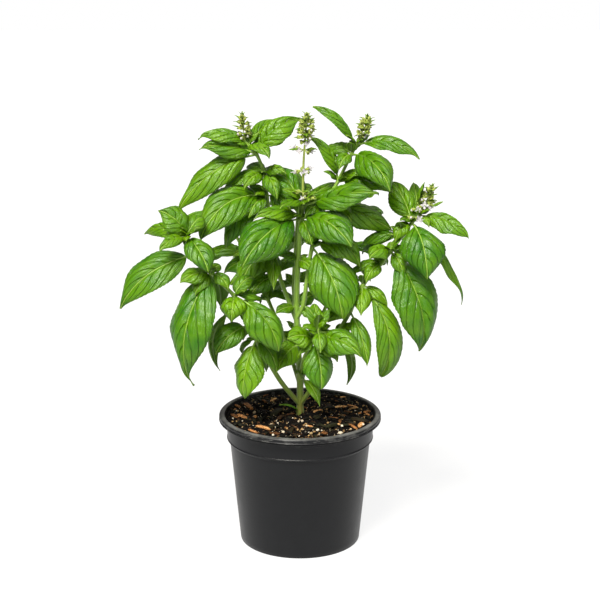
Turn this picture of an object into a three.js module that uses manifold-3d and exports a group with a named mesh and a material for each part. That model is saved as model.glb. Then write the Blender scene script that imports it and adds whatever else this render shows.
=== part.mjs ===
// A basil plant in a six-inch grower's pot, in millimetres, +Z up.
// The origin is the middle of the pot's underside, and the pot stands on z = 0.
import * as THREE from "three";
import { mergeVertices } from "three/addons/utils/BufferGeometryUtils.js";
import Module from "manifold-3d";

const wasm = await Module();
wasm.setup();

// Driving dimensions of the pot
const POT_HEIGHT = 122;
const RIM_RADIUS = 75;
const RIM_WIDTH = 5.7;
const RIM_DEPTH = 5.8;
const COLLAR_RADIUS = 67.9;
const COLLAR_FOOT_RADIUS = 67.2;
const STEP_TOP_HEIGHT = 98.6;
const STEP_FOOT_HEIGHT = 96.2;
const BODY_TOP_RADIUS = 64.9;
const BASE_RADIUS = 55.6;
const WALL = 1.5;
const FLOOR = 2.2;
const POT_SIDES = 36;

// Driving dimensions of the underside: a flat middle, a raised channel with drain holes, a foot ring
const MIDDLE_RADIUS = 21;
const CHANNEL_LIFT = 3;
const FOOT_INNER_RADIUS = 50;
const DRAIN_RADIUS = 4;
const DRAIN_CIRCLE = 36;
const DRAIN_COUNT = 6;
const DRAIN_SIDES = 8;

// Driving dimensions of the plant, whose places are given above a datum just under the soil's top
const SOIL_HEIGHT = 120.8;
const SOIL_EDGE_HEIGHT = 119.4;
const DATUM_HEIGHT = 119;
const CHIP_COUNT = 11;
const CHIP_SIZE = [15, 6, 3.4];
const PERLITE_COUNT = 6;
const PERLITE_RADIUS = 2.2;
const BITS_INNER_RADIUS = 13;
const BITS_OUTER_RADIUS = 59;
const GOLDEN_ANGLE = 2.39996;
const CLEARANCE = 0.3;
const NECK = 6;
const MAIN_SIDES = 8;
const BRANCH_SIDES = 4;
const BLADE_THICKNESS = 0.8;
const PETIOLE_WIDTH = 2.2;
const PETIOLE_THICKNESS = 1.5;
const BLADE_CUP = 0.22;
const EDGE_WAVE = 0.04;
const SMALL_LEAF = 42;

// Where the rings across a blade lie, as shares of its length, for leaves up to each length.
const BLADE_STATIONS = [
  [26, [0.3, 0.75]],
  [SMALL_LEAF, [0.12, 0.45, 0.8]],
  [Infinity, [0.08, 0.32, 0.6, 0.85]],
];

// Every leafy stem: its name, its radius at foot and top, and its nodes from the foot up.
// A node is its place above the datum and its leaves; a leaf is its tip above the datum, the
// height of its arch, how far it turns towards the front in degrees, its width, and the share
// of its length that is petiole.
const STEMS = [
  ["main_stem", 3.4, 2.1, [
    [[0, 0, -33], []],
    [[0, 0, 4], [[-19, -14, 16, 2, 0, 7, 0.18]]],
    [[0, 0, 36], [[18, -34, 20, 7, 20, 11, 0.3]]],
    [[-2, 0, 67], [[-21, -38, 55, 6, 10, 25, 0.18], [16, 4, 27, 8, 0, 16, 0.18]]],
    [[-3, 0, 103], [[-22, -14, 102, 3, 30, 14, 0.18], [17, 10, 113, 4, 30, 16, 0.18]]],
    [[-2, 0, 147], [[-18, -10, 154, 3, 30, 15, 0.18], [18, 30, 132, 4, 0, 17, 0.18]]],
    [[1, 0, 186], [[-51, -46, 152, 11, 32, 44, 0.18], [45, -44, 171, 10, 28, 37, 0.18]]],
    [[2, 0, 197], [[-31, 42, 228, 7, 25, 31, 0.18], [66, -26, 216, 3, 35, 32, 0.3],
      [-18, -30, 202, 5, 10, 16, 0.18], [34, 32, 213, 4, 20, 16, 0.18]]],
  ]],
  ["left_upper_stem", 2.3, 1.3, [
    [[-3, 0, 90], []],
    [[-19, 10, 131], [[-71, 14, 133, 13, 30, 32, 0.18], [-4, 40, 135, 8, 0, 18, 0.18]]],
    [[-23, 14, 153], [[-54, -10, 125, 9, 20, 30, 0.18], [-24, -26, 127, 6, 0, 14, 0.18]]],
    [[-30, 18, 203], [[-90, -18, 171, 15, 45, 38, 0.18], [-68, 6, 157, 9, 25, 30, 0.18]]],
    [[-32, 18, 223], [[-20, -8, 204, 6, 0, 18, 0.18], [-50, 46, 224, 5, 20, 15, 0.18],
      [-72, 22, 202, 8, 20, 24, 0.18]]],
    [[-39, 18, 241], [[-110, 2, 194, 10, 40, 33, 0.18], [1, 34, 271, 7, 25, 32, 0.18]]],
    [[-46, 18, 249], [[-92, 16, 256, 8, 15, 28, 0.18], [-26, -4, 242, 5, 0, 21, 0.18],
      [-18, 62, 265, 6, 20, 17, 0.18]]],
  ]],
  ["right_upper_stem", 2.4, 1.3, [
    [[-3, 0, 93], []],
    [[3, -6, 107], []],
    [[6, -8, 130], []],
    [[11, -6, 161], [[38, -44, 104, 9, 22, 46, 0.18], [56, -20, 145, 13, 30, 29, 0.18]]],
    [[23, 8, 197], [[85, 4, 174, 4, 40, 28, 0.18]]],
    [[34, 14, 217], [[6, 20, 258, 8, 10, 21, 0.18], [84, -8, 212, 5, 25, 25, 0.18]]],
    [[46, 12, 242], [[79, -36, 218, 10, 20, 32, 0.18], [26, 38, 245, 4, 15, 25, 0.18]]],
    [[50, 9, 251], [[12, 14, 287, 5, 10, 20, 0.18], [107, -8, 243, 8, 22, 25, 0.18]]],
  ]],
  ["left_lower_stem", 2.6, 1.4, [
    [[0, 0, 10], []],
    [[-19, -12, 39], []],
    [[-39, -24, 80], [[-51, -42, 30, 8, 0, 34, 0.18], [-30, 8, 41, 5, 0, 17, 0.18]]],
    [[-46, -28, 95], [[-75, -46, 73, 5, 40, 24, 0.18], [-52, -14, 77, 3, 0, 12, 0.18]]],
    [[-53, -32, 112], [[-76, -14, 46, 17, 15, 23, 0.25]]],
    [[-58, -34, 123], [[-17, -58, 79, 9, 25, 36, 0.28], [-60, -52, 104, 6, 0, 25, 0.1]]],
    [[-78, -36, 145], [[-97, -56, 44, 19, 8, 48, 0.08], [-71, -8, 106, 8, 0, 21, 0.18],
      [-70, -4, 144, 3, 30, 11, 0.18], [-105, -54, 141, 4, 30, 20, 0.18]]],
    [[-90, -36, 162], [[-160, -52, 117, 10, 42, 36, 0.18]]],
    [[-99, -36, 177], [[-124, -34, 201, 5, 35, 31, 0.14], [-79, -62, 152, 5, 10, 27, 0.1],
      [-122, -60, 171, 4, 25, 15, 0.18], [-141, -8, 175, 6, 25, 20, 0.18],
      [-84, -16, 192, 5, 20, 20, 0.18]]],
  ]],
  ["right_lower_stem", 2.5, 1.3, [
    [[0, 0, 10], []],
    [[13, -8, 34], []],
    [[34, -14, 82], [[45, -4, 30, 10, 0, 14, 0.45]]],
    [[45, -16, 104], [[61, -44, 61, 5, 0, 19, 0.18]]],
    [[56, -16, 128], [[54, -40, 107, 3, 0, 17, 0.18], [73, -30, 44, 19, 20, 28, 0.18]]],
    [[73, -12, 148], [[42, 4, 125, 8, 10, 23, 0.18], [59, 26, 126, 6, 10, 24, 0.18]]],
    [[81, -10, 158], [[109, -30, 69, 14, 20, 50, 0.18], [61, -34, 158, 5, 30, 20, 0.18],
      [101, 14, 142, 5, 20, 18, 0.18]]],
    [[91, -6, 171], [[88, -20, 189, 2, 0, 11, 0.18], [56, 26, 148, 6, 20, 22, 0.18]]],
    [[100, -4, 183], [[112, -42, 140, 11, 5, 42, 0.18], [151, 16, 102, 7.5, 30, 22, 0.3],
      [83, 22, 217, 4, 25, 26, 0.18]]],
    [[106, -3, 189], [[151, -18, 173, 6, 25, 26, 0.18], [115, -18, 182, 3, 0, 10, 0.18],
      [103, 30, 215, 2, 0, 13, 0.18]]],
  ]],
  ["front_shoot", 1.8, 1.0, [
    [[0, 0, 40], []],
    [[4, -16, 62], []],
    [[13, -36, 83], [[-11, -50, 89, 4, 45, 24, 0.18], [54, -62, 76, 8, 35, 31, 0.18],
      [20, -56, 43, 5, 0, 30, 0.15]]],
    [[16, -42, 93], [[18, -62, 79, 4, 0, 14, 0.18], [50, -32, 63, 7, 20, 22, 0.18],
      [24, -40, 106, 3, 0, 15, 0.18], [12, -26, 115, 4, 0, 16, 0.18]]],
  ]],
  ["back_left_stem", 2.2, 1.2, [
    [[0, 0, 29], []],
    [[-12, 26, 59], [[-38, 46, 31, 7, 0, 22, 0.18], [9, 54, 42, 7, 0, 24, 0.18]]],
    [[-30, 50, 97], [[-67, 74, 69, 9, 0, 30, 0.18], [-6, 88, 80, 9, 0, 30, 0.18]]],
    [[-50, 66, 136], [[-96, 98, 117, 11, 0, 34, 0.18], [-34, 110, 147, 10, 0, 30, 0.18]]],
    [[-66, 73, 163], [[-112, 70, 171, 8, 0, 28, 0.18], [-46, 116, 143, 9, 0, 28, 0.18]]],
    [[-74, 76, 178], [[-94, 110, 158, 6, 0, 22, 0.18], [-64, 98, 188, 5, 0, 20, 0.18],
      [-86, 68, 190, 4, 0, 14, 0.18]]],
  ]],
  ["back_right_stem", 2.2, 1.2, [
    [[0, 0, 22], []],
    [[6, 24, 47], []],
    [[12, 36, 65], [[36, 56, 38, 7, 0, 24, 0.18], [28, 74, 52, 7, 0, 22, 0.18]]],
    [[28, 54, 99], [[6, 96, 100, 9, 0, 28, 0.18], [63, 84, 81, 9, 0, 28, 0.18]]],
    [[42, 76, 138], [[21, 124, 140, 9, 0, 30, 0.18], [87, 104, 119, 10, 0, 32, 0.18]]],
    [[51, 88, 168], [[78, 126, 161, 8, 0, 30, 0.18], [34, 118, 173, 7, 0, 26, 0.18]]],
    [[57, 92, 183], [[76, 102, 188, 5, 0, 20, 0.18], [43, 110, 188, 5, 0, 18, 0.18],
      [62, 86, 199, 3, 0, 12, 0.18]]],
  ]],
  ["back_stem", 2.2, 1.2, [
    [[0, 0, 40], []],
    [[-3, 28, 71], [[-22, 60, 44, 7, 0, 22, 0.18], [2, 70, 46, 7, 0, 20, 0.18]]],
    [[-6, 44, 111], [[-24, 90, 91, 9, 0, 30, 0.18], [24, 80, 109, 9, 0, 30, 0.18]]],
    [[-4, 55, 150], [[-14, 114, 126, 10, 0, 30, 0.18], [22, 100, 150, 10, 0, 28, 0.18]]],
    [[-2, 61, 178], [[-29, 92, 181, 7, 0, 26, 0.18], [27, 92, 177, 7, 0, 24, 0.18]]],
    [[-1, 64, 194], [[-10, 100, 178, 5, 0, 20, 0.18], [10, 80, 200, 5, 0, 18, 0.18],
      [-2, 68, 210, 3, 0, 12, 0.18]]],
  ]],
];

// Every flower spike: its name, the stem that it tops, its route above the datum after that
// stem's last node, and its whorls of calyces as [share of the route, reach from the axis].
const SPIKES = [
  ["centre_spike", "main_stem", [[3, 0, 232], [4, 0, 250], [6, 0, 278]],
    [[0.08, 8], [0.34, 11], [0.64, 13], [0.77, 9], [0.84, 10], [0.9, 9], [0.95, 7], [0.985, 4.5]]],
  ["left_spike", "left_upper_stem", [[-50, 18, 261], [-52, 18, 275]],
    [[0.26, 7], [0.44, 9], [0.6, 9], [0.74, 8], [0.86, 6.5], [0.96, 4.5]]],
  ["right_spike", "right_upper_stem", [[57, 6, 264], [60, 6, 275]],
    [[0.2, 6], [0.42, 9.5], [0.58, 10], [0.73, 8.5], [0.86, 6.5], [0.96, 4.5]]],
  ["far_spike", "right_lower_stem", [[113, -2, 199], [122, -2, 216]],
    [[0.29, 9], [0.46, 10], [0.6, 10], [0.74, 9], [0.87, 7.5], [0.97, 5]]],
];
const SPIKE_RADIUS = 1.2;
const SPIKE_TOP_RADIUS = 0.8;
const CALYX_SPREAD = 0.55;
const CALYX_RADIUS = 2.1;
const BRACT_LENGTH = 7.5;
const BRACT_WIDTH = 3.4;
const BRACT_THICKNESS = 0.8;
const BRACTS_TO = 0.7;

// Colours and finishes, one material for each kind of piece
const MATERIALS = {
  pot: new THREE.MeshStandardMaterial({ color: 0x3c3d3e, roughness: 0.5, metalness: 0 }),
  soil: new THREE.MeshStandardMaterial({ color: 0x2c231b, roughness: 0.95, metalness: 0 }),
  leaf: new THREE.MeshStandardMaterial({ color: 0x55962a, roughness: 0.45, metalness: 0 }),
  flower: new THREE.MeshStandardMaterial({ color: 0x8f9c4c, roughness: 0.7, metalness: 0 }),
};

const UP = new THREE.Vector3(0, 0, 1);

// A place given above the plant's datum, as a place in the part's frame.
function aboveDatum(at) {
  return new THREE.Vector3(at[0], at[1], at[2] + DATUM_HEIGHT);
}

// A closed three.js geometry as a manifold-3d solid. Faces that have shrunk to a line are dropped.
function solidOf(geometry) {
  const bare = geometry.clone();
  bare.deleteAttribute("normal");
  bare.deleteAttribute("uv");
  const merged = mergeVertices(bare, 1e-4);
  const corners = merged.index.array;
  const faces = [];
  for (let i = 0; i < corners.length; i += 3) {
    const [a, b, c] = corners.slice(i, i + 3);
    if (a !== b && b !== c && c !== a) faces.push(a, b, c);
  }
  const mesh = new wasm.Mesh({
    numProp: 3,
    vertProperties: new Float32Array(merged.attributes.position.array),
    triVerts: new Uint32Array(faces),
  });
  return new wasm.Manifold(mesh);
}

// A manifold-3d solid as a three.js geometry with flat faces.
function geometryOf(solid) {
  const mesh = solid.getMesh();
  const geometry = new THREE.BufferGeometry();
  geometry.setAttribute("position", new THREE.BufferAttribute(mesh.vertProperties, 3));
  geometry.setIndex(new THREE.BufferAttribute(mesh.triVerts, 1));
  const flat = geometry.toNonIndexed();
  flat.computeVertexNormals();
  return flat;
}

// The largest body of a solid, so that a scrap left by a cut is dropped.
function largestBody(solid) {
  const bodies = solid.decompose();
  return bodies.reduce((best, body) => (body.volume() > best.volume() ? body : best));
}

function fuse(solids) {
  return solids.reduce((whole, solid) => whole.add(solid));
}

// A closed skin over rings of points that all have the same count, with flat ends. Two of the
// sides are split the other way, so that a blade, whose rings have six, folds alike on both faces.
function skin(rings) {
  const count = rings[0].length;
  const points = rings.flat().flatMap((p) => [p.x, p.y, p.z]);
  const faces = [];
  for (let i = 0; i + 1 < rings.length; i += 1) {
    for (let k = 0; k < count; k += 1) {
      const next = (k + 1) % count;
      const a = i * count + k;
      const b = i * count + next;
      const c = a + count;
      const d = b + count;
      const leansBack = k === 1 || k === count - 2;
      if (leansBack) faces.push(a, b, c, b, d, c);
      else faces.push(a, b, d, a, d, c);
    }
  }
  const last = (rings.length - 1) * count;
  for (let k = 1; k + 1 < count; k += 1) {
    faces.push(0, k + 1, k, last, last + k, last + k + 1);
  }
  const geometry = new THREE.BufferGeometry();
  geometry.setAttribute("position", new THREE.Float32BufferAttribute(points, 3));
  geometry.setIndex(faces);
  const solid = solidOf(geometry);
  if (solid.volume() > 0) return solid;
  geometry.setIndex(faces.reverse());
  return solidOf(geometry);
}

// A solid turned about the Z axis from a profile of [radius, height] points.
function lathe(profile, sides) {
  const points = profile.map(([radius, height]) => new THREE.Vector2(radius, height));
  return new THREE.LatheGeometry(points, sides).rotateX(Math.PI / 2);
}

// Points on a quarter round of a profile, both ends included.
function quarterRound(centreRadius, centreHeight, round, from, to, steps) {
  const points = [];
  for (let i = 0; i <= steps; i += 1) {
    const angle = THREE.MathUtils.degToRad(from + ((to - from) * i) / steps);
    const radius = centreRadius + round * Math.cos(angle);
    points.push([radius, centreHeight + round * Math.sin(angle)]);
  }
  return points;
}

// The radius of the pot's inner wall at a height above its floor.
const INNER_WALL = [
  [BASE_RADIUS - WALL, CHANNEL_LIFT + FLOOR],
  [BODY_TOP_RADIUS - WALL, STEP_FOOT_HEIGHT],
  [COLLAR_FOOT_RADIUS - WALL, STEP_TOP_HEIGHT],
  [COLLAR_RADIUS - WALL, POT_HEIGHT - RIM_DEPTH],
];

// The pot: one moulded wall with a rolled rim, a collar, a rounded step and a drained base.
function makePot() {
  const rimInner = RIM_RADIUS - RIM_WIDTH;
  const [outerRound, innerRound, lowerRound] = [2.2, 1.2, 0.6];
  const stepRise = STEP_TOP_HEIGHT - STEP_FOOT_HEIGHT;
  const stepRun = COLLAR_FOOT_RADIUS - BODY_TOP_RADIUS;
  const step = [0, 0.3, 0.7, 1].map((share) => {
    const run = (1 - Math.cos(Math.PI * share)) / 2;
    return [BODY_TOP_RADIUS + stepRun * run, STEP_FOOT_HEIGHT + stepRise * share];
  });
  const lipBottom = POT_HEIGHT - RIM_DEPTH;
  const profile = [
    [0, 0],
    [MIDDLE_RADIUS, 0],
    [MIDDLE_RADIUS + CHANNEL_LIFT, CHANNEL_LIFT],
    [FOOT_INNER_RADIUS - CHANNEL_LIFT, CHANNEL_LIFT],
    [FOOT_INNER_RADIUS, 0],
    [BASE_RADIUS - lowerRound, 0],
    [BASE_RADIUS, lowerRound],
    ...step,
    [COLLAR_RADIUS, lipBottom],
    ...quarterRound(RIM_RADIUS - 2 * lowerRound, lipBottom + lowerRound, lowerRound, -90, 0, 1),
    ...quarterRound(RIM_RADIUS - outerRound, POT_HEIGHT - outerRound, outerRound, 0, 90, 2),
    ...quarterRound(rimInner + innerRound, POT_HEIGHT - innerRound, innerRound, 90, 180, 1),
    ...INNER_WALL.toReversed(),
    [MIDDLE_RADIUS + CHANNEL_LIFT, CHANNEL_LIFT + FLOOR],
    [MIDDLE_RADIUS, FLOOR],
    [0, FLOOR],
  ];
  let pot = solidOf(lathe(profile, POT_SIDES));
  for (let i = 0; i < DRAIN_COUNT; i += 1) {
    const angle = ((i + 0.5) * 2 * Math.PI) / DRAIN_COUNT;
    const drill = new THREE.CylinderGeometry(DRAIN_RADIUS, DRAIN_RADIUS, 4 * FLOOR, DRAIN_SIDES);
    drill.rotateX(Math.PI / 2);
    drill.translate(DRAIN_CIRCLE * Math.cos(angle), DRAIN_CIRCLE * Math.sin(angle), CHANNEL_LIFT);
    pot = pot.subtract(solidOf(drill));
  }
  return pot;
}

// Seeded random numbers from 0 to 1, so that every build is the same.
function seededRandom(seed) {
  let state = seed;
  return () => {
    state = (state * 1664525 + 1013904223) % 4294967296;
    return state / 4294967296;
  };
}

// How far the soil's top rises or dips at a place, in gentle lumps that die out at the wall.
function soilLump(x, y) {
  const reach = Math.hypot(x, y);
  const fade = Math.min(1, Math.max(0, (62 - reach) / 12));
  const broad = Math.sin(0.16 * x + 1) * Math.cos(0.19 * y + 0.4);
  const fine = Math.sin(0.43 * y + 0.31 * x);
  return fade * (0.9 * broad + 0.5 * fine);
}

// The soil: it fills the pot, with a lumpy top, bark chips and perlite, and a hole for the stem.
function makeSoil(stemHole) {
  const rimInner = RIM_RADIUS - RIM_WIDTH;
  const lipFoot = INNER_WALL[3];
  const share = (SOIL_EDGE_HEIGHT - lipFoot[1]) / (POT_HEIGHT - lipFoot[1]);
  const edge = lipFoot[0] + (rimInner - lipFoot[0]) * share - CLEARANCE;
  const floorRadius = BASE_RADIUS - WALL - CLEARANCE;
  const topRings = [1, 0.8, 0.5, 0.2];
  const top = topRings.map((reach) => {
    const rise = (SOIL_HEIGHT - SOIL_EDGE_HEIGHT) * (1 - reach * reach);
    return [edge * reach, SOIL_EDGE_HEIGHT + rise];
  });
  const profile = [
    [0, FLOOR + CLEARANCE],
    [MIDDLE_RADIUS - CLEARANCE, FLOOR + CLEARANCE],
    [MIDDLE_RADIUS + CHANNEL_LIFT - CLEARANCE, CHANNEL_LIFT + FLOOR + CLEARANCE],
    [floorRadius, CHANNEL_LIFT + FLOOR + CLEARANCE],
    ...INNER_WALL.slice(1).map(([radius, height]) => [radius - CLEARANCE, height]),
    ...top,
    [0, SOIL_HEIGHT],
  ];
  const geometry = lathe(profile, POT_SIDES);
  const position = geometry.attributes.position;
  for (let i = 0; i < position.count; i += 1) {
    const isTop = position.getZ(i) >= SOIL_EDGE_HEIGHT;
    const lump = isTop ? soilLump(position.getX(i), position.getY(i)) : 0;
    position.setZ(i, position.getZ(i) + lump);
  }
  let soil = solidOf(geometry);
  const random = seededRandom(11);
  const bits = [];
  for (let i = 0; i < CHIP_COUNT + PERLITE_COUNT; i += 1) {
    const isChip = i < CHIP_COUNT;
    const band = BITS_OUTER_RADIUS - BITS_INNER_RADIUS;
    const reach = BITS_INNER_RADIUS + band * Math.sqrt(random());
    const angle = i * GOLDEN_ANGLE + random();
    const x = reach * Math.cos(angle);
    const y = reach * Math.sin(angle);
    const rise = (SOIL_HEIGHT - SOIL_EDGE_HEIGHT) * (1 - (reach / edge) ** 2);
    const size = 0.6 + 0.4 * random();
    const bit = isChip
      ? new THREE.BoxGeometry(CHIP_SIZE[0] * size, CHIP_SIZE[1] * size, CHIP_SIZE[2])
      : new THREE.OctahedronGeometry(PERLITE_RADIUS * size);
    bit.rotateX(0.5 * (random() - 0.5));
    bit.rotateZ(Math.PI * random());
    bit.translate(x, y, SOIL_EDGE_HEIGHT + rise + soilLump(x, y) + CLEARANCE);
    bits.push(solidOf(bit));
  }
  soil = fuse([soil, ...bits]);
  return largestBody(soil.subtract(stemHole));
}

// The places of a stem's nodes, with a short neck that goes straight on past the last one.
function stemRoute(nodes) {
  const places = nodes.map(([at]) => aboveDatum(at));
  const last = places.at(-1);
  const onward = last.clone().sub(places.at(-2)).normalize();
  return [...places, last.clone().addScaledVector(onward, NECK)];
}

// The route of a stem or spike through its nodes: a uniform Catmull-Rom curve.
function routeThrough(nodes) {
  return new THREE.CatmullRomCurve3(nodes, false, "catmullrom", 0.5);
}

// A round-cornered, slightly square tube along a route, tapered from foot to top.
function stemSolid(nodes, footRadius, topRadius, sides, swell = 0) {
  const route = routeThrough(nodes);
  const steps = 2 * (nodes.length - 1);
  const rings = [];
  for (let i = 0; i <= steps; i += 1) {
    const t = i / steps;
    const centre = route.getPoint(t);
    const along = route.getTangent(t);
    const side = new THREE.Vector3(1, 0, 0).addScaledVector(along, -along.x).normalize();
    const front = new THREE.Vector3().crossVectors(along, side);
    const radius = footRadius + (topRadius - footRadius) * t + swell;
    const ring = [];
    for (let k = 0; k < sides; k += 1) {
      const angle = ((k + 0.5) * 2 * Math.PI) / sides;
      const point = centre.clone().addScaledVector(side, radius * Math.cos(angle));
      ring.push(point.addScaledVector(front, radius * Math.sin(angle)));
    }
    rings.push(ring);
  }
  return skin(rings);
}

// Half the width of an ovate blade at a share of its length, as a part of its greatest.
function ovate(share) {
  const peak = 0.6 / 1.55;
  const height = peak ** 0.6 * (1 - peak) ** 0.95;
  return (share ** 0.6 * (1 - share) ** 0.95) / height;
}

// The direction in which a leaf arches: square to its chord, up, and outwards if it hangs.
function archDirection(foot, tip) {
  const chord = tip.clone().sub(foot).normalize();
  const outward = new THREE.Vector3(tip.x - foot.x, tip.y - foot.y, 0);
  if (outward.length() < 4) outward.set(foot.x, foot.y, 0);
  outward.normalize();
  const lean = chord.z < 0 ? 0.3 : -0.3;
  const lift = UP.clone().addScaledVector(outward, lean);
  return lift.addScaledVector(chord, -lift.dot(chord)).normalize();
}

// A leaf as one closed solid: a petiole from the stem's axis, then a cupped, waved ovate blade.
// Its midrib is a quadratic curve from foot to tip, and each ring across it has three points
// on the upper face and three below them; the petiole's rings are four-sided, because their
// outer points meet.
function leafSolid(footAt, [x, y, z, arch, turn, width, petioleShare]) {
  const foot = aboveDatum(footAt);
  const tip = aboveDatum([x, y, z]);
  const lift = archDirection(foot, tip);
  const bend = foot.clone().add(tip).multiplyScalar(0.5).addScaledVector(lift, 2 * arch);
  const midrib = new THREE.QuadraticBezierCurve3(foot, bend, tip);
  const length = foot.distanceTo(tip);
  const bladeShares = BLADE_STATIONS.find(([longest]) => length < longest)[1];
  const slim = length < SMALL_LEAF ? 0.75 : 1;
  const petiole = {
    half: (slim * PETIOLE_WIDTH) / 2,
    thickness: slim * PETIOLE_THICKNESS,
    edge: 0,
    wave: 0,
  };
  const stations = [
    { ...petiole, t: 0 },
    { ...petiole, t: petioleShare },
    ...bladeShares.map((share, i) => ({
      t: petioleShare + (1 - petioleShare) * share,
      half: (width / 2) * ovate(share) * (1 + (i % 2 ? EDGE_WAVE : -EDGE_WAVE)),
      thickness: BLADE_THICKNESS,
      edge: BLADE_THICKNESS,
      wave: (i % 2 ? 1 : -1) * EDGE_WAVE * width,
    })),
    { t: 1, half: 0, thickness: BLADE_THICKNESS, edge: BLADE_THICKNESS, wave: 0 },
  ];
  const roll = THREE.MathUtils.degToRad(tip.x >= foot.x ? turn : -turn);
  const rings = stations.map(({ t, half, thickness, edge, wave }) => {
    const centre = midrib.getPoint(t);
    const along = midrib.getTangent(t).normalize();
    const out = lift.clone().addScaledVector(along, -lift.dot(along)).normalize();
    out.applyAxisAngle(along, roll);
    const side = new THREE.Vector3().crossVectors(along, out);
    const cup = half > PETIOLE_WIDTH ? BLADE_CUP * half : 0;
    const at = (across, rise) =>
      centre.clone().addScaledVector(side, across).addScaledVector(out, rise);
    return [
      at(-half, edge / 2 - cup + wave),
      at(0, thickness / 2),
      at(half, edge / 2 - cup - wave),
      at(half, -edge / 2 - cup - wave),
      at(0, -thickness / 2),
      at(-half, -edge / 2 - cup + wave),
    ];
  });
  return skin(rings);
}

// A leafy stem: the stem and its leaves, fused, with its foot cut to seat against its parent.
function makeLeafyStem([, footRadius, topRadius, nodes], sides, parent) {
  const route = stemRoute(nodes);
  const stem = stemSolid(route, footRadius, topRadius, sides);
  const leaves = nodes.flatMap(([at, rows]) => rows.map((row) => leafSolid(at, row)));
  const whole = fuse([stem, ...leaves]);
  return parent ? largestBody(whole.subtract(parent)) : whole;
}

// A small calyx: a four-sided bell that widens from a point in the spike's axis to its mouth.
function calyxSolid(foot, mouth, radius) {
  const length = foot.distanceTo(mouth);
  const bell = new THREE.ConeGeometry(radius, length, 4).translate(0, -length / 2, 0);
  const away = foot.clone().sub(mouth).normalize();
  bell.applyQuaternion(new THREE.Quaternion().setFromUnitVectors(new THREE.Vector3(0, 1, 0), away));
  return solidOf(bell.translate(foot.x, foot.y, foot.z));
}

// A bract: a small pointed blade that stands out and up under each group of flowers.
function bractSolid(foot, outward, length) {
  const side = new THREE.Vector3().crossVectors(UP, outward).multiplyScalar(BRACT_WIDTH / 2);
  const along = outward.clone().addScaledVector(UP, 0.25);
  const tip = foot.clone().addScaledVector(along, length);
  const face = (lift) =>
    [foot.clone().add(side), tip, foot.clone().sub(side)].map((point) =>
      point.clone().addScaledVector(UP, lift),
    );
  return skin([face(-BRACT_THICKNESS / 2), face(BRACT_THICKNESS / 2)]);
}

// A flower spike: a thin axis with whorls of four calyces and two bracts, each whorl turned
// a quarter from the one below.
function makeSpike([, stemName, rest, whorls]) {
  const stem = STEMS.find(([name]) => name === stemName);
  const below = routeThrough(stemRoute(stem[3]));
  const start = below.getPoint(1).addScaledVector(below.getTangent(1), 2 * CLEARANCE);
  const route = [start, ...rest.map(aboveDatum)];
  const axis = routeThrough(route);
  const solids = [stemSolid(route, SPIKE_RADIUS, SPIKE_TOP_RADIUS, BRANCH_SIDES)];
  whorls.forEach(([share, reach], index) => {
    const centre = axis.getPoint(share);
    const quarter = (index % 2) * (Math.PI / 2);
    for (let side = 0; side < 2; side += 1) {
      const facing = quarter + side * Math.PI;
      const outward = new THREE.Vector3(Math.cos(facing), Math.sin(facing), 0);
      const low = centre.clone().addScaledVector(UP, -1).addScaledVector(outward, -0.4);
      if (share < BRACTS_TO) solids.push(bractSolid(low, outward, Math.min(reach, BRACT_LENGTH)));
      for (const spread of [-CALYX_SPREAD, CALYX_SPREAD]) {
        const angle = facing + spread;
        const along = new THREE.Vector3(Math.cos(angle), Math.sin(angle), 0.35);
        const foot = centre.clone().addScaledVector(along, 0.3).addScaledVector(UP, 0.2 * spread);
        const mouth = foot.clone().addScaledVector(along, 0.9 * reach);
        solids.push(calyxSolid(foot, mouth, Math.min(CALYX_RADIUS, 0.3 * reach)));
      }
    }
  });
  const tip = axis.getPoint(1);
  const bud = new THREE.OctahedronGeometry(2).translate(tip.x, tip.y, tip.z);
  solids.push(solidOf(bud));
  return fuse(solids);
}

function addMesh(group, name, solid, material) {
  const mesh = new THREE.Mesh(geometryOf(solid), material);
  mesh.name = name;
  group.add(mesh);
}

const plant = new THREE.Group();
const [mainStem, ...branches] = STEMS;
const mainRoute = stemRoute(mainStem[3]);
const mainClear = stemSolid(mainRoute, mainStem[1], mainStem[2], MAIN_SIDES, CLEARANCE);
const holeFoot = new THREE.Vector3(0, 0, mainRoute[0].z - CLEARANCE);
const holeTop = new THREE.Vector3(0, 0, SOIL_HEIGHT + NECK);
const stemHole = stemSolid([holeFoot, holeTop], mainStem[1], mainStem[1], MAIN_SIDES, CLEARANCE);

addMesh(plant, "pot", makePot(), MATERIALS.pot);
addMesh(plant, "soil", makeSoil(stemHole), MATERIALS.soil);
addMesh(plant, mainStem[0], makeLeafyStem(mainStem, MAIN_SIDES, null), MATERIALS.leaf);
for (const branch of branches) {
  addMesh(plant, branch[0], makeLeafyStem(branch, BRANCH_SIDES, mainClear), MATERIALS.leaf);
}
for (const spike of SPIKES) {
  addMesh(plant, spike[0], makeSpike(spike), MATERIALS.flower);
}

export default plant;
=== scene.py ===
"""A potted basil plant: moulded nursery pot, potting mix, grown stems, quilted leaves and flower spikes.

Sizes are in millimetres and become metres where a mesh is made. Places on the plant are given above
a datum that lies just under the top of the soil. Scales of patterns are repeats to a metre.
"""

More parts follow.
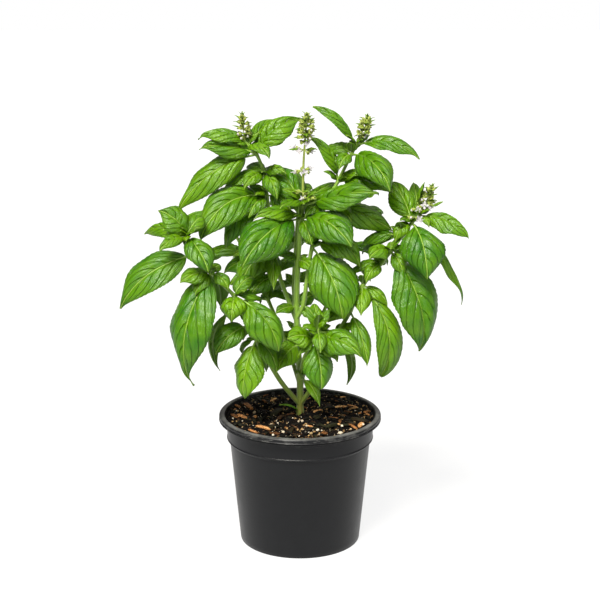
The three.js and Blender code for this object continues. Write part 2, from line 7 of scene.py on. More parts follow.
import bpy
import numpy as np
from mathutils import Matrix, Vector


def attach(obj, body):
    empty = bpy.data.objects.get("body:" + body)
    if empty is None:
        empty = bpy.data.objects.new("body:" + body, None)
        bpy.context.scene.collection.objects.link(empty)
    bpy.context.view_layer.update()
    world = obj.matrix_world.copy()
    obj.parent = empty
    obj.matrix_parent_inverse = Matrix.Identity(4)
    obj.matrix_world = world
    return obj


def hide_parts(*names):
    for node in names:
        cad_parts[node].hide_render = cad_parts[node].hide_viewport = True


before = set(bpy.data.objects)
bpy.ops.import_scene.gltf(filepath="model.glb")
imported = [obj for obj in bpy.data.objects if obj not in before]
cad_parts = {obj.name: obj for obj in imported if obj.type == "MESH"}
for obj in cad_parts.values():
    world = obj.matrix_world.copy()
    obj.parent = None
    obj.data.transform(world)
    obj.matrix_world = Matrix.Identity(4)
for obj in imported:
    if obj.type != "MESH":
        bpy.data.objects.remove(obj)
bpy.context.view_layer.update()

# Studio: a white floor that meets a white surround, a broad warm key light from above the left
# shoulder, weak lights from the front, the right and the back, and a long-lens camera that looks
# down on the pot by 15 degrees.
MM = 0.001
CAMERA_DISTANCE = 1500
CAMERA_TARGET_HEIGHT = 229.4
CAMERA_PITCH = np.radians(15.197)
IMAGE_SIDE = 600
FOCAL_PIXELS = 1652.6
SENSOR = 36
CAMERA_REACH = 50000
FLOOR_SIDE = 9000
FLOOR_GLOW = 0.84
SURROUND_LIGHT = 0.1
# Each softbox: name, azimuth from the front (-Y) to the right, elevation and spread, all in degrees,
# strength, tint.
SOFTBOXES = [
    ["key_softbox", -25, 56, 22, 6.0, "#fffbf2"],
    ["front_softbox", -10, 36, 28, 1.3, "#ffffff"],
    ["fill_softbox", 65, 45, 50, 0.9, "#ffffff"],
    ["back_softbox", 165, 42, 60, 0.6, "#fffaf0"],
]

scene = bpy.context.scene
scene.view_settings.view_transform = "Standard"

camera_data = bpy.data.cameras.new("camera")
camera_data.sensor_fit = "HORIZONTAL"
camera_data.sensor_width = SENSOR
camera_data.lens = SENSOR * FOCAL_PIXELS / IMAGE_SIDE
camera_data.clip_end = CAMERA_REACH * MM
camera = bpy.data.objects.new("camera", camera_data)
scene.collection.objects.link(camera)
camera.location = (
    0,
    -CAMERA_DISTANCE * np.cos(CAMERA_PITCH) * MM,
    (CAMERA_TARGET_HEIGHT + CAMERA_DISTANCE * np.sin(CAMERA_PITCH)) * MM,
)
camera.rotation_euler = (np.pi / 2 - CAMERA_PITCH, 0, 0)
scene.camera = camera


def linear(hex_colour):
    """An sRGB hex colour as linear RGBA: c/12.92 where dark, else ((c + 0.055)/1.055)^2.4."""
    c = np.array([int(hex_colour[i : i + 2], 16) for i in (1, 3, 5)]) / 255
    rgb = np.where(c <= 0.04045, c / 12.92, ((c + 0.055) / 1.055) ** 2.4)
    return (*rgb.tolist(), 1.0)


def add_node(tree, kind, inputs=None, **settings):
    """Adds a node, sets its properties, and fills its sockets: a socket is linked, and a value is set."""
    node = tree.nodes.new("ShaderNode" + kind)
    for name, value in settings.items():
        setattr(node, name, value)
    for key, value in (inputs or {}).items():
        if isinstance(value, bpy.types.NodeSocket):
            tree.links.new(value, node.inputs[key])
        else:
            node.inputs[key].default_value = value
    return node


def new_material(name):
    """An empty node material, as (material, its node tree)."""
    material = bpy.data.materials.new(name)
    material.use_nodes = True
    material.node_tree.nodes.clear()
    return material, material.node_tree


def show(tree, shader):
    """Joins a shader socket to the material's output."""
    add_node(tree, "OutputMaterial", {"Surface": shader})


# The floor is an opal table lit from below, so that shadows on it stay pale.
opal, tree = new_material("acrylic_opal_lit")
grain = add_node(tree, "TexNoise", {"Scale": 900.0})
opal_bump = add_node(tree, "Bump", {"Height": grain.outputs[0], "Strength": 0.05, "Distance": 0.0002})
opal_face = add_node(tree, "BsdfDiffuse", {"Color": linear("#6a6a6a"), "Normal": opal_bump.outputs[0]})
opal_light = add_node(tree, "Emission", {"Color": (1, 1, 1, 1), "Strength": FLOOR_GLOW})
show(tree, add_node(tree, "AddShader", {0: opal_face.outputs[0], 1: opal_light.outputs[0]}).outputs[0])

half_floor = FLOOR_SIDE / 2 * MM
floor_mesh = bpy.data.meshes.new("floor")
floor_corners = [(x * half_floor, y * half_floor, 0) for x, y in ((-1, -1), (1, -1), (1, 1), (-1, 1))]
floor_mesh.from_pydata(floor_corners, [], [(0, 1, 2, 3)])
floor_mesh.materials.append(opal)
floor = bpy.data.objects.new("floor", floor_mesh)
scene.collection.objects.link(floor)

world = bpy.data.worlds.new("white_surround")
world.use_nodes = True
world.node_tree.nodes.clear()
seen = add_node(world.node_tree, "Background", {"Color": (1, 1, 1, 1), "Strength": 1.0})
felt = add_node(world.node_tree, "Background", {"Color": (1, 1, 1, 1), "Strength": SURROUND_LIGHT})
eye = add_node(world.node_tree, "LightPath").outputs["Is Camera Ray"]
surround = add_node(world.node_tree, "MixShader", {0: eye, 1: felt.outputs[0], 2: seen.outputs[0]})
add_node(world.node_tree, "OutputWorld", {"Surface": surround.outputs[0]})
scene.world = world

# Each softbox is far away, in the direction (sin a cos e, -cos a cos e, sin e), and faces the pot.
for name, azimuth, elevation, spread, strength, tint in SOFTBOXES:
    lamp = bpy.data.lights.new(name, "SUN")
    lamp.angle = np.radians(spread)
    lamp.energy = strength
    lamp.color = linear(tint)[:3]
    holder = bpy.data.objects.new(name, lamp)
    scene.collection.objects.link(holder)
    a, e = np.radians(azimuth), np.radians(elevation)
    towards = Vector((np.sin(a) * np.cos(e), -np.cos(a) * np.cos(e), np.sin(e)))
    holder.rotation_euler = towards.to_track_quat("Z", "Y").to_euler()

# Pot: injection-moulded polypropylene, one turned wall with a rolled rim, a collar and a rounded
# step, and a drained base. Charcoal, satin, with soil dust and scuffs on the rim; the scuffs are drawn
# light and so also serve as painted glints, and a near-black band under the lip is painted shadow.
POT_HEIGHT = 122
RIM_RADIUS = 75
RIM_WIDTH = 5.7
RIM_DEPTH = 5.8
COLLAR_RADIUS = 67.9
COLLAR_FOOT_RADIUS = 67.2
STEP_TOP_HEIGHT = 98.6
STEP_FOOT_HEIGHT = 96.2
BODY_TOP_RADIUS = 64.9
BASE_RADIUS = 55.6
WALL = 1.5
POT_FLOOR = 2.2
MIDDLE_RADIUS = 21
CHANNEL_LIFT = 3
FOOT_INNER_RADIUS = 50
DRAIN_RADIUS = 4
DRAIN_CIRCLE = 36
DRAIN_COUNT = 6
DRAIN_SIDES = 32
# The plugs that punch the drain holes reach from below the base to above the floor.
PLUG_HEIGHTS = (-2, 9)
POT_COLUMNS = 240
# The small hole at each pole of a turned skin, which a ring of triangles closes.
POLE_RADIUS = 0.5
# The rounds of the profile: foot, raised line over the step, raised line and hollow under the lip, rim.
FOOT_ROUND = 0.9
STEP_BEAD = 0.55
STEP_BEAD_RISE = 0.7
LIP_BEAD = 0.45
LIP_BEAD_DROP = 2.1
LIP_HOLLOW = 1.0
LIP_ROUND = 1.0
RIM_ROUND = 2.2
RIM_INNER_ROUND = 1.6
# Heights between which a finish or painted shade comes in or goes out: dust, the rubbed top of the
# rim, and a painted shadow in a near-black band under the lip.
DUST_HEIGHTS = (110, 119)
RUBBED_HEIGHTS = (120.8, 121.7)
LIP_SHADE_STARTS = (114.5, 115)
LIP_SHADE_ENDS = (116.8, 117.4)


def arc(centre, radius, start, end, steps):
    """Points of a round in a profile: centre + radius (cos a, sin a), a in degrees from start to end."""
    a = np.radians(np.linspace(start, end, steps))
    return np.stack([centre[0] + radius * np.cos(a), centre[1] + radius * np.sin(a)], 1)


def grid_faces(rows, columns, wrap):
    """Quads of a grid of points kept row by row: (i, j), (i, j+1), (i+1, j+1), (i+1, j)."""
    i, j = np.meshgrid(np.arange(rows - 1), np.arange(columns if wrap else columns - 1), indexing="ij")
    k = (j + 1) % columns
    corners = (i * columns + j, i * columns + k, (i + 1) * columns + k, (i + 1) * columns + j)
    return np.stack(corners, -1).reshape(-1, 4)


def capped_rings(rings):
    """Points and faces of a closed skin over rings (rows, columns, 3), with a pole at each end."""
    rows, columns = rings.shape[:2]
    points = np.concatenate([rings.reshape(-1, 3), rings[0].mean(0)[None], rings[-1].mean(0)[None]])
    j = np.arange(columns)
    k = (j + 1) % columns
    first = np.stack([np.full(columns, rows * columns), k, j], 1)
    last_row = (rows - 1) * columns
    last = np.stack([np.full(columns, rows * columns + 1), last_row + j, last_row + k], 1)
    return points, [*grid_faces(rows, columns, True).tolist(), *first.tolist(), *last.tolist()]


def turned_rings(profile, columns):
    """A profile of (radius, height) carried round the Z axis: (r cos a, r sin a, z)."""
    a = np.linspace(0, 2 * np.pi, columns, endpoint=False)
    r, z = profile[:, :1], profile[:, 1:]
    return np.stack([r * np.cos(a), r * np.sin(a), z + 0 * a], -1)


def joined(skins):
    """Points and faces of many skins as one: each skin's faces count on from the points before it."""
    points, faces, total = [], [], 0
    for more, more_faces in skins:
        faces += [[v + total for v in face] for face in more_faces]
        points.append(more)
        total += len(more)
    return np.concatenate(points), faces


def make_piece(name, skins, materials, node, uv=None, tone=None):
    """A smooth piece made of skins, which stands for a node and rides on root. uv and tone are per point."""
    points, faces = joined(skins)
    mesh = bpy.data.meshes.new(name)
    mesh.from_pydata((points * MM).tolist(), [], faces)
    mesh.shade_smooth()
    for material in materials:
        mesh.materials.append(material)
    if uv is not None:
        corner = np.empty(len(mesh.loops), np.int32)
        mesh.loops.foreach_get("vertex_index", corner)
        mesh.uv_layers.new(name="growth").data.foreach_set("uv", np.asarray(uv, np.float32)[corner].ravel())
    if tone is not None:
        mesh.attributes.new("tone", "FLOAT", "POINT").data.foreach_set("value", np.asarray(tone, np.float32))
    piece = bpy.data.objects.new(name, mesh)
    scene.collection.objects.link(piece)
    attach(piece, "root")
    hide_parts(node)
    return piece


rim_inner = RIM_RADIUS - RIM_WIDTH
lip_bottom = POT_HEIGHT - RIM_DEPTH
step_share = np.linspace(0, 1, 12)
step_run = (1 - np.cos(np.pi * step_share)) / 2
step_profile = np.stack(
    [
        BODY_TOP_RADIUS + (COLLAR_FOOT_RADIUS - BODY_TOP_RADIUS) * step_run,
        STEP_FOOT_HEIGHT + (STEP_TOP_HEIGHT - STEP_FOOT_HEIGHT) * step_share,
    ],
    1,
)
body_heights = np.linspace(1, STEP_FOOT_HEIGHT - 0.5, 24)
body_radii = BASE_RADIUS + (BODY_TOP_RADIUS - BASE_RADIUS) * body_heights / STEP_FOOT_HEIGHT
body_profile = np.stack([body_radii, body_heights], 1)
# From the middle of the underside out to the foot, up the wall, over the rim and down inside.
pot_profile = np.concatenate(
    [
        [[POLE_RADIUS, 0], [MIDDLE_RADIUS, 0], [MIDDLE_RADIUS + CHANNEL_LIFT, CHANNEL_LIFT]],
        [[FOOT_INNER_RADIUS - CHANNEL_LIFT, CHANNEL_LIFT], [FOOT_INNER_RADIUS, 0]],
        arc((BASE_RADIUS - FOOT_ROUND, FOOT_ROUND), FOOT_ROUND, -90, 0, 5),
        body_profile,
        step_profile,
        arc((COLLAR_FOOT_RADIUS, STEP_TOP_HEIGHT + STEP_BEAD_RISE), STEP_BEAD, -80, 80, 7),
        [[COLLAR_FOOT_RADIUS + 0.06, STEP_TOP_HEIGHT + 2.0], [COLLAR_RADIUS - 0.05, lip_bottom - 3.0]],
        arc((COLLAR_RADIUS - 0.05, lip_bottom - LIP_BEAD_DROP), LIP_BEAD, -80, 80, 7),
        arc((COLLAR_RADIUS + 0.9, lip_bottom - LIP_HOLLOW), LIP_HOLLOW, 180, 90, 4),
        arc((RIM_RADIUS - 1.1, lip_bottom + LIP_ROUND), LIP_ROUND, -90, 80, 9),
        arc((RIM_RADIUS - 2.4, POT_HEIGHT - 2.3), RIM_ROUND, -25, 90, 10),
        arc((rim_inner + RIM_INNER_ROUND, POT_HEIGHT - RIM_INNER_ROUND), RIM_INNER_ROUND, 90, 180, 7),
        [[COLLAR_RADIUS - WALL, lip_bottom], [COLLAR_FOOT_RADIUS - WALL, STEP_TOP_HEIGHT]],
        [[BODY_TOP_RADIUS - WALL, STEP_FOOT_HEIGHT], [BASE_RADIUS - WALL, CHANNEL_LIFT + POT_FLOOR]],
        [[MIDDLE_RADIUS + CHANNEL_LIFT, CHANNEL_LIFT + POT_FLOOR], [MIDDLE_RADIUS, POT_FLOOR]],
        [[POLE_RADIUS, POT_FLOOR]],
    ]
)

# Polypropylene as it leaves a satin mould: dust in blotches of 10 mm near the rim, scuffs 7 mm long
# and 1 mm high round the wall, drawn light so that they also serve as painted glints, and pores of
# 0.5 mm that break up the highlight.
polypropylene, tree = new_material("polypropylene_moulded_charcoal")
place = add_node(tree, "TexCoord").outputs["Object"]
height = add_node(tree, "SeparateXYZ", {0: place}).outputs["Z"]
near_rim = add_node(
    tree, "MapRange", {"Value": height, "From Min": DUST_HEIGHTS[0] * MM, "From Max": DUST_HEIGHTS[1] * MM}
).outputs[0]
blotches = add_node(
    tree, "TexNoise", {"Vector": place, "Scale": 95.0, "Detail": 5.0, "Roughness": 0.65}
).outputs[0]
scuff_map = add_node(tree, "Mapping", {"Vector": place, "Scale": (140.0, 140.0, 900.0)}).outputs[0]
scuffs = add_node(
    tree, "TexNoise", {"Vector": scuff_map, "Scale": 1.0, "Detail": 6.0, "Roughness": 0.7}
).outputs[0]
# The scuffs are drawn light grey: partly real wear, partly painted glints on the rim.
scuffs_and_glints = add_node(tree, "MapRange", {"Value": scuffs, "From Min": 0.57, "From Max": 0.68}).outputs[0]
dusty = add_node(
    tree, "MapRange", {"Value": blotches, "From Min": 0.5, "From Max": 0.72, "To Max": 0.5}
).outputs[0]
dust_wear_and_glints = add_node(tree, "Math", {0: dusty, 1: scuffs_and_glints}, operation="MAXIMUM").outputs[0]
dust_wear_and_glints = add_node(tree, "Math", {0: dust_wear_and_glints, 1: near_rim}, operation="MULTIPLY").outputs[0]
rim_top = add_node(
    tree,
    "MapRange",
    {"Value": height, "From Min": RUBBED_HEIGHTS[0] * MM, "From Max": RUBBED_HEIGHTS[1] * MM},
).outputs[0]
rubbed = add_node(
    tree, "MapRange", {"Value": blotches, "From Min": 0.38, "From Max": 0.66, "To Min": 0.3, "To Max": 0.95}
).outputs[0]
rim_top = add_node(tree, "Math", {0: rim_top, 1: rubbed}, operation="MULTIPLY").outputs[0]
dust_wear_and_glints = add_node(tree, "Math", {0: dust_wear_and_glints, 1: rim_top}, operation="MAXIMUM").outputs[0]
cast = add_node(
    tree, "Mix", {0: blotches, 6: linear("#0b0c0e"), 7: linear("#131416")}, data_type="RGBA"
).outputs[2]
# Light grey for dust, the rubbed rim top and the scuffs, which also stand as painted glints.
coat = add_node(tree, "Mix", {0: dust_wear_and_glints, 6: cast, 7: linear("#62625f")}, data_type="RGBA").outputs[2]
satin = add_node(tree, "MapRange", {"Value": blotches, "To Min": 0.3, "To Max": 0.46}).outputs[0]
pores = add_node(tree, "TexNoise", {"Vector": place, "Scale": 2200.0, "Detail": 3.0}).outputs[0]
pot_bump = add_node(tree, "Bump", {"Height": pores, "Strength": 0.35, "Distance": 0.00006})
pot_bump = add_node(
    tree, "Bump", {"Height": scuffs, "Strength": 0.3, "Distance": 0.0002, "Normal": pot_bump.outputs[0]}
)
pot_face = {
    "Base Color": coat,
    "Roughness": satin,
    "Normal": pot_bump.outputs[0],
    "IOR": 1.49,
    "Specular IOR Level": 0.24,
}
# The collar just under the lip lies in the rim's shadow: a near-black matt band is painted there as shadow.
above_crease = add_node(
    tree, "MapRange", {"Value": height, "From Min": LIP_SHADE_STARTS[0] * MM, "From Max": LIP_SHADE_STARTS[1] * MM}
).outputs[0]
below_lip = add_node(
    tree,
    "MapRange",
    {
        "Value": height,
        "From Min": LIP_SHADE_ENDS[0] * MM,
        "From Max": LIP_SHADE_ENDS[1] * MM,
        "To Min": 1.0,
        "To Max": 0.0,
    },
).outputs[0]
lip_shade_band = add_node(tree, "Math", {0: above_crease, 1: below_lip}, operation="MULTIPLY").outputs[0]
# Near-black matt diffuse: painted shadow under the lip.
painted_shadow = add_node(tree, "BsdfDiffuse", {"Color": linear("#050505")}).outputs[0]
moulded = add_node(tree, "BsdfPrincipled", pot_face).outputs[0]
show(tree, add_node(tree, "MixShader", {0: lip_shade_band, 1: moulded, 2: painted_shadow}).outputs[0])

pot_skin = capped_rings(turned_rings(pot_profile, POT_COLUMNS))
pot = make_piece("pot_shell", [pot_skin], [polypropylene], "pot")
plug = turned_rings(np.array([[DRAIN_RADIUS, height] for height in PLUG_HEIGHTS], float), DRAIN_SIDES)
drain_angles = (np.arange(DRAIN_COUNT) + 0.5) * 2 * np.pi / DRAIN_COUNT
drain_places = DRAIN_CIRCLE * np.stack([np.cos(drain_angles), np.sin(drain_angles), 0 * drain_angles], 1)
drill_points, drill_faces = joined([capped_rings(plug + place) for place in drain_places])
drill_mesh = bpy.data.meshes.new("drill")
drill_mesh.from_pydata((drill_points * MM).tolist(), [], drill_faces)
drill = bpy.data.objects.new("drill", drill_mesh)
scene.collection.objects.link(drill)
cut = pot.modifiers.new("drain_holes", "BOOLEAN")
cut.operation = "DIFFERENCE"
cut.solver = "EXACT"
cut.object = drill
bpy.context.view_layer.update()
drained = bpy.data.meshes.new_from_object(pot.evaluated_get(bpy.context.evaluated_depsgraph_get()))
pot.modifiers.clear()
pot.data = drained
bpy.data.objects.remove(drill)

# Potting mix: damp peat that fills the pot to 3 mm below its rim, heaped a little at the stem,
# loose and crumbly on top.
SOIL_HEIGHT = 120.8
SOIL_EDGE_HEIGHT = 119.4
SOIL_GAP = 0.3
SOIL_POLE_RADIUS = 0.6
SOIL_RINGS = 100
SOIL_COLUMNS = 260
# Lumps die out over this width, and none is left past this radius.
SOIL_FADE_WIDTH = 12
SOIL_FADE_END = 62
# Crumbs of three sizes: cell and height, and how far the whole crust is let down.
CLOD = (7.5, 1.2)
CRUMB = (3.4, 2.2)
GRAIN = (1.5, 1.4)
CRUST_SUNK = 1.6
LATTICE = 257


def value_noise(x, y, cell, seed):
    """Random heights from -1 to 1 on a square lattice of that cell, joined by a smooth bilinear blend."""
    lattice = np.random.default_rng(seed).uniform(-1, 1, (LATTICE, LATTICE))
    u, v = x / cell + LATTICE / 2, y / cell + LATTICE / 2
    i, j = np.floor(u).astype(int), np.floor(v).astype(int)
    fu, fv = u - i, v - j
    fu, fv = fu * fu * (3 - 2 * fu), fv * fv * (3 - 2 * fv)
    low = lattice[i, j] * (1 - fu) + lattice[i + 1, j] * fu
    high = lattice[i, j + 1] * (1 - fu) + lattice[i + 1, j + 1] * fu
    return low * (1 - fv) + high * fv


def soil_top(x, y):
    """Height of the soil: edge + (middle - edge) (1 - (r / wall)^2) + lumps, which die out at the wall."""
    reach = np.hypot(x, y)
    fade = np.clip((SOIL_FADE_END - reach) / SOIL_FADE_WIDTH, 0, 1)
    lump = 0.9 * np.sin(0.16 * x + 1) * np.cos(0.19 * y + 0.4) + 0.5 * np.sin(0.43 * y + 0.31 * x)
    return SOIL_EDGE_HEIGHT + (SOIL_HEIGHT - SOIL_EDGE_HEIGHT) * (1 - (reach / soil_edge) ** 2) + fade * lump


lip_share = (SOIL_EDGE_HEIGHT - lip_bottom) / (POT_HEIGHT - lip_bottom)
soil_edge = COLLAR_RADIUS - WALL + (rim_inner - COLLAR_RADIUS + WALL) * lip_share - SOIL_GAP
soil_foot = CHANNEL_LIFT + POT_FLOOR + SOIL_GAP
soil_side = np.array(
    [
        [MIDDLE_RADIUS - SOIL_GAP, POT_FLOOR + SOIL_GAP],
        [MIDDLE_RADIUS + CHANNEL_LIFT - SOIL_GAP, soil_foot],
        [BASE_RADIUS - WALL - SOIL_GAP, soil_foot],
        [BODY_TOP_RADIUS - WALL - SOIL_GAP, STEP_FOOT_HEIGHT],
        [COLLAR_FOOT_RADIUS - WALL - SOIL_GAP, STEP_TOP_HEIGHT],
        [COLLAR_RADIUS - WALL - SOIL_GAP, lip_bottom],
    ]
)
top_reach = np.linspace(soil_edge, SOIL_POLE_RADIUS, SOIL_RINGS)
soil_rings = turned_rings(np.concatenate([soil_side, np.stack([top_reach, 0 * top_reach], 1)]), SOIL_COLUMNS)
top = soil_rings[len(soil_side) :]
x, y = top[..., 0], top[..., 1]
crumbs = (
    CLOD[1] * value_noise(x, y, CLOD[0], 1)
    + CRUMB[1] * np.abs(value_noise(x, y, CRUMB[0], 2))
    + GRAIN[1] * np.abs(value_noise(x, y, GRAIN[0], 3))
)
top[..., 2] = soil_top(x, y) + crumbs - CRUST_SUNK

# Peat, damp and milled: almost black, with paler fibres among grains of 2 mm, and dull crumbs of 0.7 mm.
peat, tree = new_material("peat_damp")
place = add_node(tree, "TexCoord").outputs["Object"]
grains = add_node(tree, "TexVoronoi", {"Vector": place, "Scale": 520.0})
grain_tone = add_node(tree, "SeparateXYZ", {0: grains.outputs["Color"]}).outputs["X"]
peat_ramp = add_node(tree, "ValToRGB", {0: grain_tone})
peat_stops = peat_ramp.color_ramp.elements
peat_stops[0].color = linear("#030202")
peat_stops[1].position = 0.97
peat_stops[1].color = linear("#96794f")
for position, colour in ((0.7, "#060403"), (0.88, "#1a110a"), (0.94, "#4a331e")):
    peat_stops.new(position).color = linear(colour)
clods = add_node(
    tree, "TexNoise", {"Vector": place, "Scale": 1400.0, "Detail": 6.0, "Roughness": 0.7}
).outputs[0]
peat_bump = add_node(tree, "Bump", {"Height": clods, "Strength": 0.9, "Distance": 0.0006})
peat_face = add_node(
    tree,
    "BsdfPrincipled",
    {
        "Base Color": peat_ramp.outputs[0],
        "Roughness": 0.72,
        "Normal": peat_bump.outputs[0],
        "Specular IOR Level": 0.1,
    },
)
show(tree, peat_face.outputs[0])
make_piece("soil_bed", [capped_rings(soil_rings)], [peat], "soil")

# Bark chips and perlite: shredded pine bark in curled flakes, and expanded white beads, half sunk
# in the peat by hand as the pot was filled.
CHIP_COUNT = 230
# Chips longer than this have more rows and columns.
LONG_CHIP = 12
PERLITE_COUNT = 40
# Grit is crushed perlite, much smaller than the beads.
GRIT_COUNT = 170
CHIP_LIFT = 0.6
BEAD_LIFT = 0.9
BALL_ROWS = 6
BALL_COLUMNS = 8
LONG_ROWS = 12
LONG_COLUMNS = 14
POLE_ANGLE = 0.12
# The chips that stand out: x, y, length, width, turn in degrees, tone.
CHIPS_SEEN = [
    [-47, 20, 24, 5, 105, 0.7],
    [-63, -6, 15, 4, 106, 0.6],
    [-51, -9, 20, 5, 137, 0.75],
    [-33, -39, 17, 4, 151, 0.8],
    [-42, -47, 10, 3, 156, 0.7],
    [-21, 1, 20, 7, 55, 0.24],
    [-17, -16, 16, 4, 76, 0.4],
    [38, 18, 16, 2.6, 33, 0.88],
    [50, 16, 15, 2.6, 129, 0.88],
    [54, -17, 16, 5, 162, 0.3],
    [31, -35, 20, 6, 58, 0.18],
    [56, -31, 8, 4, 47, 0.8],
    [62, 5, 11, 4, 70, 0.65],
    [-32, 32, 10, 4, 135, 0.5],
    [-7, -47, 12, 4, 69, 0.3],
    [22, -54, 6, 5, 135, 0.6],
    [40, -33, 12, 4, 139, 0.2],
]
# The beads that stand out: x, y, radius.
BEADS_SEEN = [
    [-26, -33, 1.5],
    [-15, -52, 1.7],
    [6, -37, 1.3],
    [10, -53, 1.5],
    [16, -45, 1.6],
    [36, -53, 2.1],
    [-8, -61, 1.1],
    [-42, 1, 1.5],
    [2, -20, 1.5],
    [4, 26, 1.1],
    [38, -37, 1.4],
    [57, -30, 1.5],
    [-24, -58, 1.1],
]


def pebble(rows, columns):
    """Directions of a ball as rings from pole to pole: (sin b cos a, sin b sin a, cos b)."""
    b = np.linspace(POLE_ANGLE, np.pi - POLE_ANGLE, rows)[:, None]
    a = np.linspace(0, 2 * np.pi, columns, endpoint=False)[None]
    return np.stack([np.sin(b) * np.cos(a), np.sin(b) * np.sin(a), np.cos(b) + 0 * a], -1)


rng = np.random.default_rng(5)
reach = soil_edge * np.sqrt(rng.uniform(0.02, 0.93, CHIP_COUNT))
turn = rng.uniform(0, 2 * np.pi, CHIP_COUNT)
loose_chips = np.stack(
    [
        reach * np.cos(turn),
        reach * np.sin(turn),
        rng.uniform(3, 12, CHIP_COUNT),
        rng.uniform(1.0, 3.8, CHIP_COUNT),
        rng.uniform(0, 180, CHIP_COUNT),
        rng.uniform(0, 0.97, CHIP_COUNT) ** 3.4,
    ],
    1,
)
# A chip is a ball squared off by powers, ragged at its sides, curled, bent, tilted and turned.
chips = []
chip_rows = np.concatenate([np.array(CHIPS_SEEN, float), loose_chips])
for x, y, length, width, turn, tone in chip_rows:
    rows, columns = (LONG_ROWS, LONG_COLUMNS) if length > LONG_CHIP else (BALL_ROWS, BALL_COLUMNS)
    ball = pebble(rows, columns)[:, :, [2, 0, 1]]
    flake = np.sign(ball) * np.abs(ball) ** [0.6, 0.7, 0.8] * [length / 2, width / 2, min(1.3, width / 3.4)]
    flake = flake * (1 + 0.16 * rng.standard_normal((1, columns, 1)) * [0, 1, 1])
    flake[..., 2] += 0.035 * length * np.cos(3.1 * flake[..., 0] / length) + 0.04 * flake[..., 1]
    flake[..., 1] += 0.08 * length * np.cos(2.2 * flake[..., 0] / length + rng.uniform(-1, 1))
    tilt = rng.normal(0, 0.16)
    flake[..., 2] += np.tan(tilt) * flake[..., 0]
    a = np.radians(turn)
    across = np.array([[np.cos(a), -np.sin(a)], [np.sin(a), np.cos(a)]])
    flat = flake[..., :2] @ across.T
    keep = min(1, (soil_edge - length / 2) / max(1, np.hypot(x, y)))
    x, y = x * keep, y * keep
    ground = soil_top(x, y) + CHIP_LIFT
    chips.append(np.concatenate([flat + [x, y], flake[..., 2:] + ground], -1))

# Pine bark, torn and damp: from near black to fresh tan, with fibres of 1.5 mm that break up each flake.
bark, tree = new_material("pine_bark_shredded")
place = add_node(tree, "TexCoord").outputs["Object"]
tone = add_node(tree, "Attribute", attribute_name="tone").outputs["Fac"]
fibres = add_node(
    tree, "TexNoise", {"Vector": place, "Scale": 650.0, "Detail": 5.0, "Roughness": 0.75}
).outputs[0]
mottle = add_node(
    tree, "MapRange", {"Value": fibres, "From Min": 0.3, "From Max": 0.7, "To Min": -0.25, "To Max": 0.2}
).outputs[0]
bark_tone = add_node(tree, "Math", {0: tone, 1: mottle}, operation="ADD").outputs[0]
bark_ramp = add_node(tree, "ValToRGB", {0: bark_tone})
bark_stops = bark_ramp.color_ramp.elements
bark_stops[0].color = linear("#080503")
bark_stops[1].position = 0.95
bark_stops[1].color = linear("#d9b077")
for position, colour in ((0.18, "#23240f"), (0.34, "#20130a"), (0.55, "#573618"), (0.75, "#a06a3c")):
    bark_stops.new(position).color = linear(colour)
bark_bump = add_node(tree, "Bump", {"Height": fibres, "Strength": 0.8, "Distance": 0.0005})
bark_face = add_node(
    tree,
    "BsdfPrincipled",
    {
        "Base Color": bark_ramp.outputs[0],
        "Roughness": 0.7,
        "Normal": bark_bump.outputs[0],
        "Specular IOR Level": 0.15,
    },
)
show(tree, bark_face.outputs[0])
chip_skins = [capped_rings(chip) for chip in chips]
chip_tones = np.repeat(chip_rows[:, 5], [len(points) for points, _ in chip_skins])
make_piece("bark_chips", chip_skins, [bark], "soil", tone=chip_tones)

beads, bead_tones = [], []
bead_reach = soil_edge * np.sqrt(rng.uniform(0.03, 0.93, PERLITE_COUNT + GRIT_COUNT))
bead_turn = rng.uniform(0, 2 * np.pi, PERLITE_COUNT + GRIT_COUNT)
bead_size = np.concatenate([rng.uniform(0.5, 1.0, PERLITE_COUNT), rng.uniform(0.2, 0.5, GRIT_COUNT)])
loose_beads = np.stack([bead_reach * np.cos(bead_turn), bead_reach * np.sin(bead_turn), bead_size], 1)
for x, y, size in np.concatenate([np.array(BEADS_SEEN), loose_beads]):
    lumps = 1 + 0.12 * rng.standard_normal((BALL_ROWS, BALL_COLUMNS, 1))
    bead = pebble(BALL_ROWS, BALL_COLUMNS) * size * lumps * [1, 0.9, 0.8]
    beads.append(capped_rings(bead + [x, y, soil_top(x, y) + BEAD_LIFT]))
    bead_tones.append(rng.uniform())

# Perlite, popped by heat: chalky off-white to stained tan, pitted by bubbles of 0.5 mm.
perlite, tree = new_material("perlite_expanded")
place = add_node(tree, "TexCoord").outputs["Object"]
tone = add_node(tree, "Attribute", attribute_name="tone").outputs["Fac"]
bubbles = add_node(tree, "TexVoronoi", {"Vector": place, "Scale": 2200.0}).outputs["Distance"]
chalk = add_node(
    tree, "Mix", {0: tone, 6: linear("#967d52"), 7: linear("#d8cfbb")}, data_type="RGBA"
).outputs[2]
bead_bump = add_node(tree, "Bump", {"Height": bubbles, "Strength": 0.6, "Distance": 0.0003})
perlite_face = add_node(
    tree, "BsdfPrincipled", {"Base Color": chalk, "Roughness": 0.85, "Normal": bead_bump.outputs[0]}
)
show(tree, perlite_face.outputs[0])
bead_tones = np.repeat(bead_tones, [len(points) for points, _ in beads])
make_piece("perlite_beads", beads, [perlite], "soil", tone=bead_tones)

# Stems: square, grooved green stems of soft basil wood, browner and thicker at the foot, with a
# swollen node under each pair of leaves and a short channelled petiole to every leaf.
DATUM_HEIGHT = 119
